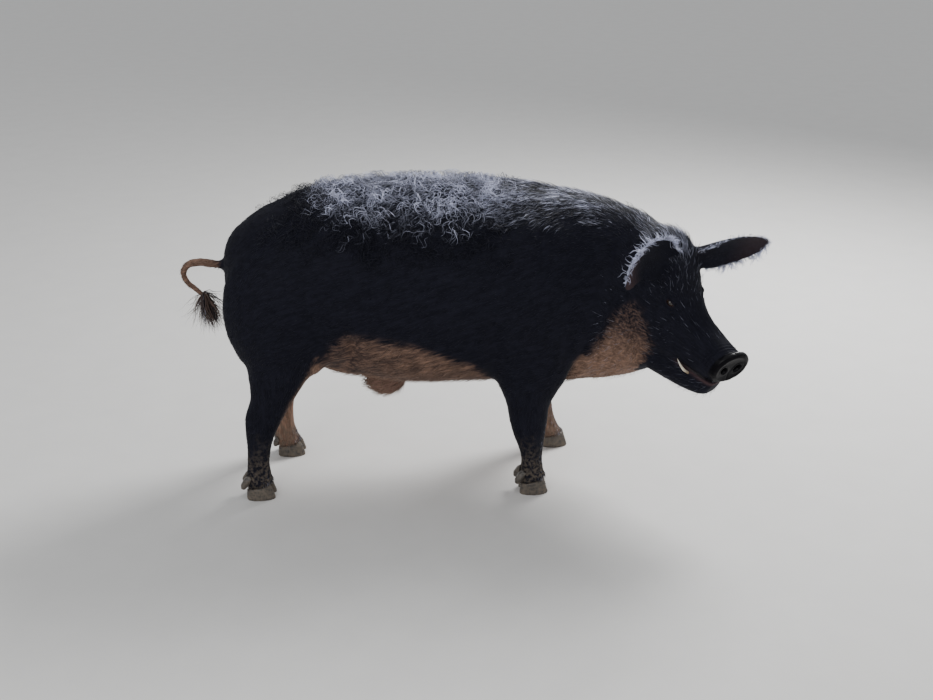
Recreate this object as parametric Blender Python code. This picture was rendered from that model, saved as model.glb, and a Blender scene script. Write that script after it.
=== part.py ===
"""A standing swallow-bellied Mangalitsa boar, life size, head turned to its right and lowered.

Metres, +X towards the head, +Y to the animal's left, +Z up. The flesh is lofted from rings, blended into
one closed body, then parted by thin gaps into the regions that a person would name. The outline
is that of the coat's tips.
"""

import math

import bmesh
import bpy
import numpy as np
from mathutils import Matrix, Vector

# driving dimensions, in metres and degrees
GAP = 0.0003  # between two neighbouring pieces
WELD = 0.000002  # points nearer than this are one
BLEND_VOXEL = 0.006  # grid on which the masses flow together
BROAD_PASSES = 90  # rounds of smoothing on the broad masses of that grid
FINE_PASSES = 12  # rounds on the feet, tail and muzzle
BODY_TRIANGLES = 21700  # flesh, before it is parted and each part is thinned to its own budget
THIN_STEP = 0.03  # how much finer to try where thinning leaves a fault
RING = 32  # points round a body ring
BALL = (16, 10)  # segments and rings of a round mass
EYE_BALL = (12, 8)
SIDES = {"left": 1, "right": -1}

BACK_HEIGHT = 0.845
BELLY_HEIGHT = 0.285
TRUNK_HALF_WIDTH = 0.213

HEAD_TURN = 48.0  # to the animal's right
HEAD_DIP = 30.0  # of the snout's axis below level
HEAD_LENGTH = 0.345  # from the poll's level to the disc's face, along that axis
DISC_CENTRE = Vector((0.792, -0.294, 0.410))
DISC_TURN = 66.0
DISC_DIP = 26.0
DISC_HALF_WIDTH = 0.054
DISC_HALF_HEIGHT = 0.050
DISC_THICKNESS = 0.017

EYE_RADIUS = 0.0125
EYE_PLACE = (0.136, 0.0630, 0.058)  # in the head's frame
HEAD_SAG = 0.04  # how much wider the head is below than above
JAW_SQUARENESS = 2.5
EAR_LENGTH = 0.206
EAR_HALF_WIDTH = 0.060
EAR_THICKNESS = 0.009
EAR_STEPS = 2  # rings to each span of its outline
EAR_ROOT = (0.060, 0.066, 0.128)  # in the head's frame
# each ear's direction at its root and tip, as shares outwards, ahead and up, and how far it faces down
EAR_POSES = {
    "left": ((0.82, 0.50, 0.07), (0.80, 0.58, -0.05), 0.50),
    "right": ((0.84, 0.02, 0.50), (0.60, 0.20, -0.95), 0.25),
}
EAR_FACES_AHEAD = 0.90
EAR_BEND_START = 0.25  # share of the length that keeps the root's direction
EAR_RIM = 0.45  # thickness at the rim, as a share of the middle's
EAR_SECTION = (-1.0, -0.6, -0.2, 0.2, 0.6, 1.0)  # points across one face
EAR_SHAPE = (  # share of the length, share of the half width, cup, thickness
    (0.00, 0.62, 0.034, 1.25),
    (0.18, 0.86, 0.030, 1.10),
    (0.38, 1.00, 0.024, 1.00),
    (0.58, 0.93, 0.018, 0.95),
    (0.78, 0.73, 0.012, 0.90),
    (0.93, 0.46, 0.006, 0.80),
    (1.00, 0.20, 0.002, 0.60),
)
TUSK_ROOT = (0.272, 0.045, -0.073)  # in the head's frame
TUSK_TIP = (0.232, 0.062, -0.048)
TUSK_BOW = (0.003, 0.008, 0.002)
TUSK_RADIUS = 0.0050
TUSK_TIP_RADIUS = 0.0008
TUSK_STEPS = 5

HOOF_POINTS = 12
HOOF_LENGTH = 0.076
HOOF_WIDTH = 0.034
HOOF_HEIGHT = 0.036  # at the middle of its crown
HOOF_SLOPE = 0.19  # the crown rises towards the toe
HOOF_SPREAD = 0.0180  # each half's centre from the foot's middle

# triangles that each piece of flesh keeps, by its name or by its name's last word
BUDGETS = {
    "head": 940, "muzzle": 420, "lower_jaw": 260, "neck": 500, "chest": 640, "belly": 360, "rump": 660,
    "scrotum": 180, "sheath": 110, "tail_base": 180,
    "forearm": 200, "thigh": 230, "cannon": 130, "shank": 160, "pastern": 120,
}
DISC_TRIANGLES = 340

# colour and roughness of each material
MATERIALS = {
    "dark_coat": ((0.030, 0.032, 0.036), 0.85),
    "tan_coat": ((0.420, 0.330, 0.235), 0.88),
    "bare_skin": ((0.115, 0.100, 0.098), 0.62),
    "wet_snout": ((0.028, 0.028, 0.031), 0.38),
    "eye_gloss": ((0.012, 0.009, 0.008), 0.06),
    "hoof_horn": ((0.150, 0.135, 0.120), 0.48),
    "tusk_ivory": ((0.700, 0.640, 0.520), 0.32),
    "tail_hair": ((0.045, 0.040, 0.038), 0.80),
}
MATERIAL_BY_PIECE = {  # by the name or by its last word without left or right; other flesh is dark
    "belly": "tan_coat",
    "sheath": "bare_skin",
    "scrotum": "bare_skin",
    "pastern": "tan_coat",
    "snout_disc": "wet_snout",
    "eye": "eye_gloss",
    "hoof": "hoof_horn",
    "dewclaw": "hoof_horn",
    "tusk": "tusk_ivory",
    "tail_tassel": "tail_hair",
}

# feet on the ground: x and distance from the middle plane
FEET = {
    "fore_right": (0.318, -0.139),
    "fore_left": (0.408, 0.134),
    "hind_right": (-0.412, -0.125),
    "hind_left": (-0.348, 0.122),
}

# trunk and neck rings: x, y, turn, top, bottom, half width, sag (wider below than above), squareness below
TRUNK_RINGS = (
    (-0.478, 0.000, 0, 0.655, 0.500, 0.040, 0.00, 2.0),
    (-0.450, 0.000, 0, 0.705, 0.430, 0.115, 0.00, 2.0),
    (-0.370, 0.000, 0, 0.765, 0.370, 0.178, 0.02, 1.8),
    (-0.260, 0.000, 0, 0.818, 0.325, 0.202, 0.03, 1.6),
    (-0.130, 0.000, 0, 0.838, 0.298, TRUNK_HALF_WIDTH, 0.06, 1.8),
    (0.010, 0.000, 0, BACK_HEIGHT, BELLY_HEIGHT, TRUNK_HALF_WIDTH, 0.08, 2.1),
    (0.150, 0.000, 0, 0.840, 0.285, 0.207, 0.06, 2.2),
    (0.290, 0.000, 0, 0.828, 0.285, 0.197, 0.04, 2.2),
    (0.400, -0.004, 6, 0.806, 0.275, 0.180, 0.02, 2.1),
    (0.475, -0.015, 14, 0.787, 0.278, 0.167, 0.03, 2.1),
    (0.540, -0.040, 28, 0.768, 0.292, 0.153, 0.05, 2.1),
    (0.588, -0.076, 40, 0.752, 0.312, 0.140, 0.06, 2.1),
    (0.632, -0.120, 48, 0.720, 0.345, 0.118, 0.06, 2.1),
)

# head rings along the snout's axis: distance ahead of the poll, rise, drop, half width, squareness
# above and below
HEAD_RINGS = (
    (-0.050, 0.138, 0.170, 0.115, 2.1, 2.1),
    (0.000, 0.172, 0.175, 0.115, 2.3, 2.3),
    (0.050, 0.170, 0.172, 0.109, 2.5, 2.5),
    (0.100, 0.128, 0.155, 0.100, 2.7, 2.7),
    (0.150, 0.076, 0.125, 0.084, 2.7, 2.8),
    (0.200, 0.050, 0.096, 0.066, 2.5, 3.0),
    (0.250, 0.044, 0.078, 0.055, 2.4, 3.2),
    (0.300, 0.043, 0.064, 0.049, 2.2, 3.0),
    (0.334, 0.041, 0.052, 0.047, 2.1, 2.5),
)

# lower jaw rings in the same frame: distance, height of the middle, half height, half width
JAW_RINGS = (
    (0.040, -0.112, 0.072, 0.088),
    (0.110, -0.118, 0.062, 0.078),
    (0.180, -0.110, 0.055, 0.063),
    (0.240, -0.100, 0.050, 0.051),
    (0.285, -0.090, 0.045, 0.044),
    (0.320, -0.081, 0.037, 0.037),
    (0.338, -0.076, 0.025, 0.027),
)

# where a foot would stand under a plumb leg, and the height from which the leg leans to its own foot
PLUMB_FOOT = {"fore": 0.320, "hind": -0.412}
LEAN_FROM = {"fore": 0.36, "hind": 0.40}
LEG_INWARD = 0.012  # of the leg's top, towards the middle plane

# leg rings: height, offset of the middle ahead of the foot, half length, half width
FORELEG_RINGS = (
    (0.470, 0.000, 0.105, 0.062),
    (0.390, -0.004, 0.105, 0.060),
    (0.326, -0.008, 0.094, 0.056),
    (0.256, -0.014, 0.062, 0.045),
    (0.210, -0.013, 0.055, 0.040),
    (0.159, -0.009, 0.0445, 0.036),
    (0.115, -0.003, 0.034, 0.031),
    (0.072, -0.001, 0.031, 0.030),
    (0.045, 0.002, 0.036, 0.034),
    (0.020, 0.004, 0.040, 0.036),
)
HINDLEG_RINGS = (
    (0.500, 0.090, 0.110, 0.060),
    (0.430, 0.085, 0.105, 0.062),
    (0.381, 0.080, 0.097, 0.060),
    (0.325, 0.063, 0.077, 0.052),
    (0.282, 0.049, 0.063, 0.045),
    (0.235, 0.027, 0.058, 0.039),
    (0.194, 0.014, 0.046, 0.034),
    (0.147, 0.006, 0.036, 0.030),
    (0.096, 0.000, 0.033, 0.028),
    (0.062, 0.000, 0.034, 0.030),
    (0.042, 0.002, 0.038, 0.034),
    (0.020, 0.004, 0.040, 0.036),
)

# where each limb leaves the trunk: a point of the plane, its rise outwards, the inner, back and front limits
LIMB_CUTS = {
    "fore": {
        "middle": (0.320, 0.136, 0.292), "slope": 0.10, "outward": 0.42,
        "inner": 0.050, "back": 0.200, "front": 0.500, "fold": 0.0,
    },
    "hind": {
        "middle": (-0.345, 0.124, 0.365), "slope": -0.35, "outward": 0.40,
        "inner": 0.042, "back": -0.600, "front": -0.225, "fold": 0.3,
    },
}
FOLD_HEIGHT = 0.36  # where the fold in front of the limb is measured
LOWER_LIMB = {"fore": ("_forearm", "_cannon", 0.172), "hind": ("_thigh", "_shank", 0.205)}
PASTERN_TOP = 0.083
CUT_SLOPE = 0.1  # the cuts across a leg rise forwards

# planes that part the head, in its own frame: a point and the outward normal
HEAD_BACK = ((-0.010, 0.0, 0.0), (-1.0, 0.0, -0.38))
MOUTH_LINE = ((0.225, 0.0, -0.062), (-0.09, 0.0, 1.0))
JAW_BACK = ((0.215, 0.0, -0.066), (-1.0, 0.0, -0.45))
MUZZLE_BACK = ((0.185, 0.0, 0.0), (-1.0, 0.0, 0.15))

# planes that part the trunk
HEAD_AHEAD = ((0.47, 0.0, 0.0), (-1.0, 0.0, 0.0))
TAIL_PLANE = ((-0.4945, 0.0, 0.6), (1.0, 0.0, 0.0))
NECK_PLANE = ((0.435, 0.0, 0.5), (-1.0, 0.15, -0.12))
CHEST_PLANE = ((0.115, 0.0, 0.0), (-1.0, 0.0, 0.0))
RUMP_PLANE = ((-0.205, 0.0, 0.0), (1.0, 0.0, 0.0))
SCROTUM_PLANES = (
    ((-0.435, 0.0, 0.46), (1.0, 0.0, 0.35)),
    ((0.0, 0.0, 0.512), (0.0, 0.0, 1.0)),
    ((0.0, 0.062, 0.0), (0.0, 1.0, 0.0)),
    ((0.0, -0.062, 0.0), (0.0, -1.0, 0.0)),
)
SHEATH_PLANES = (
    ((0.0, 0.0, 0.292), (0.0, 0.0, 1.0)),
    ((0.02, 0.0, 0.0), (1.0, 0.0, 0.0)),
    ((-0.16, 0.0, 0.0), (-1.0, 0.0, 0.0)),
)

# the parts that keep their detail in the smoothing: where each starts, and the width of its change
FINE_MUZZLE = (0.12, 0.10)  # ahead in the head's frame
FINE_MUZZLE_X = 0.5  # only this far forward, so that the far legs stay out
FINE_FEET = (0.26, 0.10)  # downwards
FINE_TAIL = (-0.485, 0.02)  # backwards
SMOOTH_IN, SMOOTH_OUT = 0.62, -0.60

# masses that swell out of the trunk: centre, half sizes
SHOULDER = ((0.275, 0.112, 0.545), (0.135, 0.088, 0.240))
HAM = ((-0.325, 0.102, 0.520), (0.158, 0.098, 0.205))
CREST = ((0.260, 0.000, 0.700), (0.250, 0.060, 0.138))
SCROTUM_LOBE = ((-0.440, 0.034, 0.458), (0.046, 0.036, 0.060))
SHEATH = ((-0.068, 0.000, 0.284), (0.058, 0.032, 0.052))
JOWL = ((0.045, 0.070, -0.100), (0.095, 0.050, 0.075))  # in the head's frame

# tail: points along it and its radius there
TAIL_BASE_RADIUS = 0.0145
TAIL_TIP_RADIUS = 0.009
TAIL_PATH = (
    (-0.462, 0.000, 0.612),
    (-0.495, 0.002, 0.612),
    (-0.535, 0.006, 0.618),
    (-0.568, 0.012, 0.612),
    (-0.586, 0.018, 0.590),
    (-0.582, 0.022, 0.562),
    (-0.562, 0.024, 0.540),
    (-0.540, 0.024, 0.520),
)
TASSEL_RINGS = (  # x, y, z, radius
    (-0.540, 0.024, 0.5205, 0.010),
    (-0.531, 0.024, 0.505, 0.015),
    (-0.522, 0.023, 0.480, 0.018),
    (-0.516, 0.022, 0.450, 0.016),
    (-0.513, 0.021, 0.425, 0.009),
    (-0.512, 0.021, 0.412, 0.003),
)
TASSEL_SIDES = 10

# the disc: depth as a share of its thickness, and share of its half sizes
DISC_PROFILE = ((0.0, 0.94), (0.25, 1.0), (0.7, 1.0), (0.95, 0.93), (1.0, 0.80), (0.92, 0.62))
DISC_SIDES = 24
DISC_SQUARENESS = 2.2
DISC_SAG = 0.05
NOSTRIL_PLACE = (0.021, -0.004)  # beside and above the disc's middle
NOSTRIL_HALF = (0.012, 0.0085, 0.0115)

# hoof rings: share of the crown's height, of the length and of the width, and how far back
HOOF_PROFILE = ((0.0, 1.0, 1.0, 0.0), (0.12, 1.02, 1.03, 0.0), (1.0, 0.86, 0.93, 0.005))
HOOF_AHEAD = 0.004
HOOF_TOE = 0.30  # how much the toe narrows
DEWCLAW_ROWS = (  # behind the foot's middle, beside it, height, radius
    (-0.018, 0.0140, 0.062, 0.0110),
    (-0.031, 0.0180, 0.053, 0.0115),
    (-0.040, 0.0200, 0.040, 0.0100),
    (-0.043, 0.0205, 0.031, 0.0055),
)
CLAW_SIDES = 6


# frames and small mathematics
def head_frame():
    """Origin at the poll's level on the snout's axis, x forward, y left, z up."""
    turn = math.radians(HEAD_TURN)
    dip = math.radians(HEAD_DIP)
    forward = Vector((math.cos(dip) * math.cos(turn), -math.cos(dip) * math.sin(turn), -math.sin(dip)))
    left = Vector((math.sin(turn), math.cos(turn), 0.0))
    up = forward.cross(left)
    frame = Matrix((forward, left, up)).transposed().to_4x4()
    frame.translation = DISC_CENTRE - forward * HEAD_LENGTH
    return frame


def smooth_table(rows, steps):
    """Catmull-Rom curve through the rows, with this many steps to a span."""
    table = np.array(rows, dtype=float)
    padded = np.vstack((2 * table[0] - table[1], table, 2 * table[-1] - table[-2]))
    found = []
    for i in range(1, len(padded) - 2):
        before, start, end, after = padded[i - 1 : i + 3]
        for t in np.linspace(0.0, 1.0, steps, endpoint=False):
            found.append(
                0.5
                * (
                    2 * start
                    + (end - before) * t
                    + (2 * before - 5 * start + 4 * end - after) * t**2
                    + (3 * start - before - 3 * end + after) * t**3
                )
            )
    found.append(table[-1])
    return np.array(found)


def ring_points(centre, side, up, half_width, rise, drop, squareness=2.1, sag=0.0, count=RING, below=None):
    """A superellipse that may be taller above its centre than below, and wider or squarer below."""
    points = []
    for k in range(count):
        angle = 2 * math.pi * k / count
        across, over = math.cos(angle), math.sin(angle)
        width = half_width * (1.0 - sag * over)
        height = rise if over > 0 else drop
        power = 2 / (squareness if over > 0 or below is None else below)
        points.append(
            centre
            + side * (width * math.copysign(abs(across) ** power, across))
            + up * (height * math.copysign(abs(over) ** power, over))
        )
    return points


# making solids
def new_object(name, mesh):
    obj = bpy.data.objects.new(name, mesh)
    bpy.context.scene.collection.objects.link(obj)
    return obj


def loft(name, rings):
    """One closed surface through rings of equal count."""
    bm = bmesh.new()
    rows = [[bm.verts.new(point) for point in ring] for ring in rings]
    count = len(rows[0])
    for low, high in zip(rows, rows[1:]):
        for k in range(count):
            bm.faces.new((low[k], low[(k + 1) % count], high[(k + 1) % count], high[k]))
    bm.faces.new(list(reversed(rows[0])))
    bm.faces.new(rows[-1])
    bmesh.ops.recalc_face_normals(bm, faces=bm.faces)
    mesh = bpy.data.meshes.new(name)
    bm.to_mesh(mesh)
    bm.free()
    return new_object(name, mesh)


def ellipsoid(name, centre, half_sizes, frame=None, counts=BALL):
    bm = bmesh.new()
    place = (frame or Matrix.Identity(4)) @ Matrix.Translation(centre) @ Matrix.Diagonal((*half_sizes, 1.0))
    bmesh.ops.create_uvsphere(bm, u_segments=counts[0], v_segments=counts[1], radius=1.0, matrix=place)
    mesh = bpy.data.meshes.new(name)
    bm.to_mesh(mesh)
    bm.free()
    return new_object(name, mesh)


def tube(name, rows, count=16):
    """A round tube through rows of x, y, z and radius, with its rings square to the path."""
    rows = np.array(rows, dtype=float)
    rings = []
    for i, (x, y, z, radius) in enumerate(rows):
        along = Vector(rows[min(i + 1, len(rows) - 1), :3] - rows[max(i - 1, 0), :3]).normalized()
        side = along.cross(Vector((0.0, 1.0, 0.0))).cross(along).normalized()
        up = along.cross(side)
        rings.append(ring_points(Vector((x, y, z)), side, up, radius, radius, radius, 2.0, 0.0, count))
    return loft(name, rings)


def remove(obj):
    bpy.data.objects.remove(obj)


def bake(obj):
    """Puts the result of the object's modifiers into its mesh."""
    depsgraph = bpy.context.evaluated_depsgraph_get()
    mesh = bpy.data.meshes.new_from_object(obj.evaluated_get(depsgraph))
    obj.modifiers.clear()
    obj.data = mesh


def drop_folds(bm):
    """Deletes flat pockets: two triangles back to back on the same three points."""
    bmesh.ops.triangulate(bm, faces=bm.faces)
    twins = {}
    for face in bm.faces:
        twins.setdefault(frozenset(face.verts), []).append(face)
    doomed = [face for faces in twins.values() if len(faces) == 2 for face in faces]
    bmesh.ops.delete(bm, geom=doomed, context="FACES")


def drop_loose_shells(bm):
    """Keeps only the largest set of points that edges join."""
    unseen = set(bm.verts)
    shells = []
    while unseen:
        shell, front = set(), [unseen.pop()]
        while front:
            vert = front.pop()
            shell.add(vert)
            for edge in vert.link_edges:
                other = edge.other_vert(vert)
                if other in unseen:
                    unseen.discard(other)
                    front.append(other)
        shells.append(shell)
    largest = max(shells, key=len)
    bmesh.ops.delete(bm, geom=[vert for vert in bm.verts if vert not in largest], context="VERTS")


def clean(mesh):
    """Removes what a cut or a collapse can leave beside the closed surface; true if it is closed then."""
    bm = bmesh.new()
    bm.from_mesh(mesh)
    bmesh.ops.remove_doubles(bm, verts=bm.verts, dist=WELD)
    bmesh.ops.dissolve_degenerate(bm, dist=WELD, edges=bm.edges)
    drop_folds(bm)
    drop_loose_shells(bm)
    closed = all(len(edge.link_faces) == 2 for edge in bm.edges)
    closed = closed and all(vert.is_manifold for vert in bm.verts)
    bm.to_mesh(mesh)
    bm.free()
    return closed


def boolean(obj, other, operation):
    modifier = obj.modifiers.new(operation.lower(), "BOOLEAN")
    modifier.operation = operation
    modifier.solver = "EXACT"
    modifier.object = other
    bake(obj)
    clean(obj.data)


def copy_of(obj, name):
    twin = obj.copy()
    twin.data = obj.data.copy()
    twin.name = name
    bpy.context.scene.collection.objects.link(twin)
    return twin


# the masses of the body
def trunk_mass():
    rings = []
    for x, y, turn, top, bottom, half_width, sag, below in smooth_table(TRUNK_RINGS, 4):
        angle = math.radians(turn)
        side = Vector((math.sin(angle), math.cos(angle), 0.0))
        half_height = 0.5 * (top - bottom)
        centre = Vector((x, y, bottom + half_height))
        up = Vector((0, 0, 1))
        rings.append(
            ring_points(centre, side, up, half_width, half_height, half_height, 2.25, sag, RING, below)
        )
    return loft("trunk_mass", rings)


def head_mass(frame):
    axes = frame.to_3x3()
    side, up = axes.col[1], axes.col[2]
    rings = []
    for distance, rise, drop, half_width, squareness, below in smooth_table(HEAD_RINGS, 4):
        centre = frame @ Vector((distance, 0.0, 0.0))
        rings.append(ring_points(centre, side, up, half_width, rise, drop, squareness, HEAD_SAG, RING, below))
    return loft("head_mass", rings)


def jaw_mass(frame):
    axes = frame.to_3x3()
    side, up = axes.col[1], axes.col[2]
    rings = []
    for distance, middle, half_height, half_width in smooth_table(JAW_RINGS, 3):
        centre = frame @ Vector((distance, 0.0, middle))
        rings.append(ring_points(centre, side, up, half_width, half_height, half_height, JAW_SQUARENESS))
    return loft("jaw_mass", rings)


def leg_mass(name):
    foot_x, foot_y = FEET[name]
    pair = name.split("_")[0]
    rows = FORELEG_RINGS if pair == "fore" else HINDLEG_RINGS
    rings = []
    for height, ahead, half_length, half_width in smooth_table(rows, 3):
        risen = min(1.0, height / LEAN_FROM[pair])
        x = foot_x + (PLUMB_FOOT[pair] - foot_x) * risen + ahead
        y = foot_y - math.copysign(LEG_INWARD * risen, foot_y)
        centre = Vector((x, y, height))
        across, along = Vector((0, 1, 0)), Vector((1, 0, 0))
        rings.append(ring_points(centre, across, along, half_width, half_length, half_length))
    return loft(name + "_mass", rings)


def mirrored(place, side):
    return Vector((place[0], place[1] * side, place[2]))


def body_masses(frame):
    masses = [trunk_mass(), head_mass(frame), jaw_mass(frame)]
    masses += [leg_mass(name) for name in FEET]
    masses.append(ellipsoid("crest_mass", *CREST))
    masses.append(ellipsoid("sheath_mass", *SHEATH))
    for side in (1, -1):
        masses.append(ellipsoid("shoulder_mass", mirrored(SHOULDER[0], side), SHOULDER[1]))
        masses.append(ellipsoid("ham_mass", mirrored(HAM[0], side), HAM[1]))
        masses.append(ellipsoid("scrotum_mass", mirrored(SCROTUM_LOBE[0], side), SCROTUM_LOBE[1]))
        masses.append(ellipsoid("jowl_mass", mirrored(JOWL[0], side), JOWL[1], frame))
    radii = np.linspace(TAIL_BASE_RADIUS, TAIL_TIP_RADIUS, len(TAIL_PATH))
    masses.append(tube("tail_mass", smooth_table(np.column_stack((TAIL_PATH, radii)), 3)))
    return masses


def smooth_mesh(mesh, passes, weights):
    """Taubin smoothing: a pass in, then one out, so that thin parts keep their size."""
    count = len(mesh.vertices)
    points = np.empty(count * 3)
    mesh.vertices.foreach_get("co", points)
    points = points.reshape(-1, 3)
    ends = np.empty(len(mesh.edges) * 2, dtype=np.int64)
    mesh.edges.foreach_get("vertices", ends)
    a, b = ends.reshape(-1, 2).T
    degree = np.bincount(a, minlength=count) + np.bincount(b, minlength=count)
    for _ in range(passes):
        for factor in (SMOOTH_IN, SMOOTH_OUT):
            total = np.zeros_like(points)
            for axis in range(3):
                line = points[:, axis]
                total[:, axis] = np.bincount(a, line[b], count) + np.bincount(b, line[a], count)
            points += (factor * weights)[:, None] * (total / degree[:, None] - points)
    mesh.vertices.foreach_set("co", points.ravel())
    mesh.update()


def rising(values, start_and_width):
    """From 0 at the start to 1 a width further on."""
    start, width = start_and_width
    return np.clip((values - start) / width, 0.0, 1.0)


def falling(values, start_and_width):
    """From 0 at the start to 1 a width below it."""
    start, width = start_and_width
    return np.clip((start - values) / width, 0.0, 1.0)


def fineness(mesh, frame):
    """1 on the muzzle, feet and tail, falling to 0 on the broad masses."""
    points = np.array([vertex.co for vertex in mesh.vertices])
    inverse = np.array(frame.inverted())
    ahead = points @ inverse[0, :3] + inverse[0, 3]
    muzzle = rising(ahead, FINE_MUZZLE) * (points[:, 0] > FINE_MUZZLE_X)
    feet = falling(points[:, 2], FINE_FEET)
    tail = falling(points[:, 0], FINE_TAIL)
    return np.maximum(np.maximum(muzzle, feet), tail)


def blended_body(frame):
    """The masses flow into one closed skin, which is then thinned to few triangles, least on the head."""
    masses = body_masses(frame)
    bm = bmesh.new()
    for mass in masses:
        bm.from_mesh(mass.data)
        remove(mass)
    mesh = bpy.data.meshes.new("body")
    bm.to_mesh(mesh)
    bm.free()
    body = new_object("body", mesh)
    remesh = body.modifiers.new("blend", "REMESH")
    remesh.mode = "VOXEL"
    remesh.voxel_size = BLEND_VOXEL
    bake(body)
    fine = fineness(body.data, frame)
    smooth_mesh(body.data, FINE_PASSES, np.ones(len(fine)))
    smooth_mesh(body.data, BROAD_PASSES, 1.0 - fine)
    return body


def thin_out(obj, triangles):
    """Collapses edges to about this many triangles, or to the next few more that leave it closed."""
    whole = obj.data
    whole.calc_loop_triangles()
    ratio = triangles / len(whole.loop_triangles)
    while ratio < 1.0:
        obj.data = whole
        thin = obj.modifiers.new("thin", "DECIMATE")
        thin.ratio = ratio
        bake(obj)
        if clean(obj.data):
            return
        ratio += THIN_STEP * ratio
    obj.data = whole


# parting the body
def convex_region(planes, slack=0.0):
    """What lies behind every plane (a point and its outward normal), grown by the slack."""
    bm = bmesh.new()
    bmesh.ops.create_cube(bm, size=6.0)
    for point, normal in planes:
        normal = Vector(normal).normalized()
        geometry = bm.verts[:] + bm.edges[:] + bm.faces[:]
        cut = bmesh.ops.bisect_plane(
            bm, geom=geometry, plane_co=Vector(point) + normal * slack, plane_no=normal, clear_outer=True
        )
        edges = [item for item in cut["geom_cut"] if isinstance(item, bmesh.types.BMEdge)]
        bmesh.ops.edgenet_fill(bm, edges=edges)
    bmesh.ops.recalc_face_normals(bm, faces=bm.faces)
    mesh = bpy.data.meshes.new("region")
    bm.to_mesh(mesh)
    bm.free()
    return new_object("region", mesh)


def part_off(body, name, planes):
    """Takes the region's share of the body away as a piece of its own, with a gap between the two."""
    piece = copy_of(body, name)
    region = convex_region(planes)
    boolean(piece, region, "INTERSECT")
    remove(region)
    keep_outside(body, planes)
    return piece


def keep_outside(obj, planes):
    region = convex_region(planes, GAP)
    boolean(obj, region, "DIFFERENCE")
    remove(region)


def leg_planes(name):
    """The limb below a plane that rises outwards, kept clear of its neighbours."""
    cut = LIMB_CUTS[name.split("_")[0]]
    outward = math.copysign(1.0, FEET[name][1])
    x, y, z = cut["middle"]
    return (
        ((x, outward * y, z), (cut["slope"], -outward * cut["outward"], 1.0)),
        ((0.0, outward * cut["inner"], 0.0), (0.0, -outward, 0.0)),
        ((cut["back"], 0.0, 0.0), (-1.0, 0.0, 0.0)),
        ((cut["front"], 0.0, FOLD_HEIGHT), (1.0, 0.0, cut["fold"])),
    )


def level_plane(x, height, slope=0.0):
    """The plane through this height at x, rising forward by the slope, with its normal up."""
    return ((x, 0.0, height), (-slope, 0.0, 1.0))


def part_legs(body):
    """Each leg in three: upper limb, lower limb, and foot down to the hooves' crowns."""
    pieces = []
    for name, (foot_x, _) in FEET.items():
        upper_word, lower_word, height = LOWER_LIMB[name.split("_")[0]]
        limb = part_off(body, name + "_limb", leg_planes(name))
        lower = part_off(limb, name + lower_word, (level_plane(foot_x, height, CUT_SLOPE),))
        foot = part_off(lower, name + "_pastern", (level_plane(foot_x, PASTERN_TOP, CUT_SLOPE),))
        keep_outside(foot, (level_plane(foot_x, HOOF_HEIGHT, HOOF_SLOPE),))
        limb.name = name + upper_word
        pieces += [limb, lower, foot]
    return pieces


def head_plane(frame, plane):
    point, normal = plane
    return (frame @ Vector(point), frame.to_3x3() @ Vector(normal))


def part_head(body, frame):
    """The head in front of the neck, then its muzzle and lower jaw."""
    head = part_off(body, "head", (head_plane(frame, HEAD_BACK), HEAD_AHEAD))
    jaw = part_off(head, "lower_jaw", (head_plane(frame, MOUTH_LINE), head_plane(frame, JAW_BACK)))
    muzzle = part_off(head, "muzzle", (head_plane(frame, MUZZLE_BACK),))
    keep_outside(muzzle, disc_planes())
    return [head, jaw, muzzle]


def part_trunk(body):
    """What is left, in neck, chest, belly and rump, with the sheath and the scrotum of their own."""
    scrotum = part_off(body, "scrotum", SCROTUM_PLANES)
    sheath = part_off(body, "sheath", SHEATH_PLANES)
    neck = part_off(body, "neck", (NECK_PLANE,))
    chest = part_off(body, "chest", (CHEST_PLANE,))
    rump = part_off(body, "rump", (RUMP_PLANE,))
    body.name = "belly"
    return [scrotum, sheath, neck, chest, rump, body]


def part_tail(body):
    return [part_off(body, "tail_base", (TAIL_PLANE,))]


# pieces beside the flesh
def disc_frame():
    """Origin at the middle of the disc's face, x out of it, y left, z up."""
    turn = math.radians(DISC_TURN)
    dip = math.radians(DISC_DIP)
    forward = Vector((math.cos(dip) * math.cos(turn), -math.cos(dip) * math.sin(turn), -math.sin(dip)))
    left = Vector((math.sin(turn), math.cos(turn), 0.0))
    frame = Matrix((forward, left, forward.cross(left))).transposed().to_4x4()
    frame.translation = DISC_CENTRE
    return frame


def disc_planes():
    """In front of the disc's back face."""
    frame = disc_frame()
    return ((frame @ Vector((-DISC_THICKNESS - GAP, 0, 0)), frame.to_3x3() @ Vector((-1, 0, 0))),)


def snout_disc():
    """A rounded plate whose rim stands a little proud of its face, with two nostrils."""
    frame = disc_frame()
    axes = frame.to_3x3()
    side, up = axes.col[1], axes.col[2]
    rings = []
    for depth, share in DISC_PROFILE:
        centre = frame @ Vector((DISC_THICKNESS * (depth - 1.0), 0.0, 0.0))
        half_width, half_height = DISC_HALF_WIDTH * share, DISC_HALF_HEIGHT * share
        rings.append(
            ring_points(
                centre, side, up, half_width, half_height, half_height, DISC_SQUARENESS, DISC_SAG, DISC_SIDES
            )
        )
    disc = loft("snout_disc", rings)
    beside, above = NOSTRIL_PLACE
    for way in (1, -1):
        nostril = ellipsoid("nostril", (0.0, way * beside, above), NOSTRIL_HALF, frame)
        boolean(disc, nostril, "DIFFERENCE")
        remove(nostril)
    thin_out(disc, DISC_TRIANGLES)
    return disc


def grown(obj, distance):
    twin = copy_of(obj, "grown")
    mesh = twin.data
    normals = [vertex.normal.copy() for vertex in mesh.vertices]
    for vertex, normal in zip(mesh.vertices, normals):
        vertex.co += normal * distance
    return twin


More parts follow.
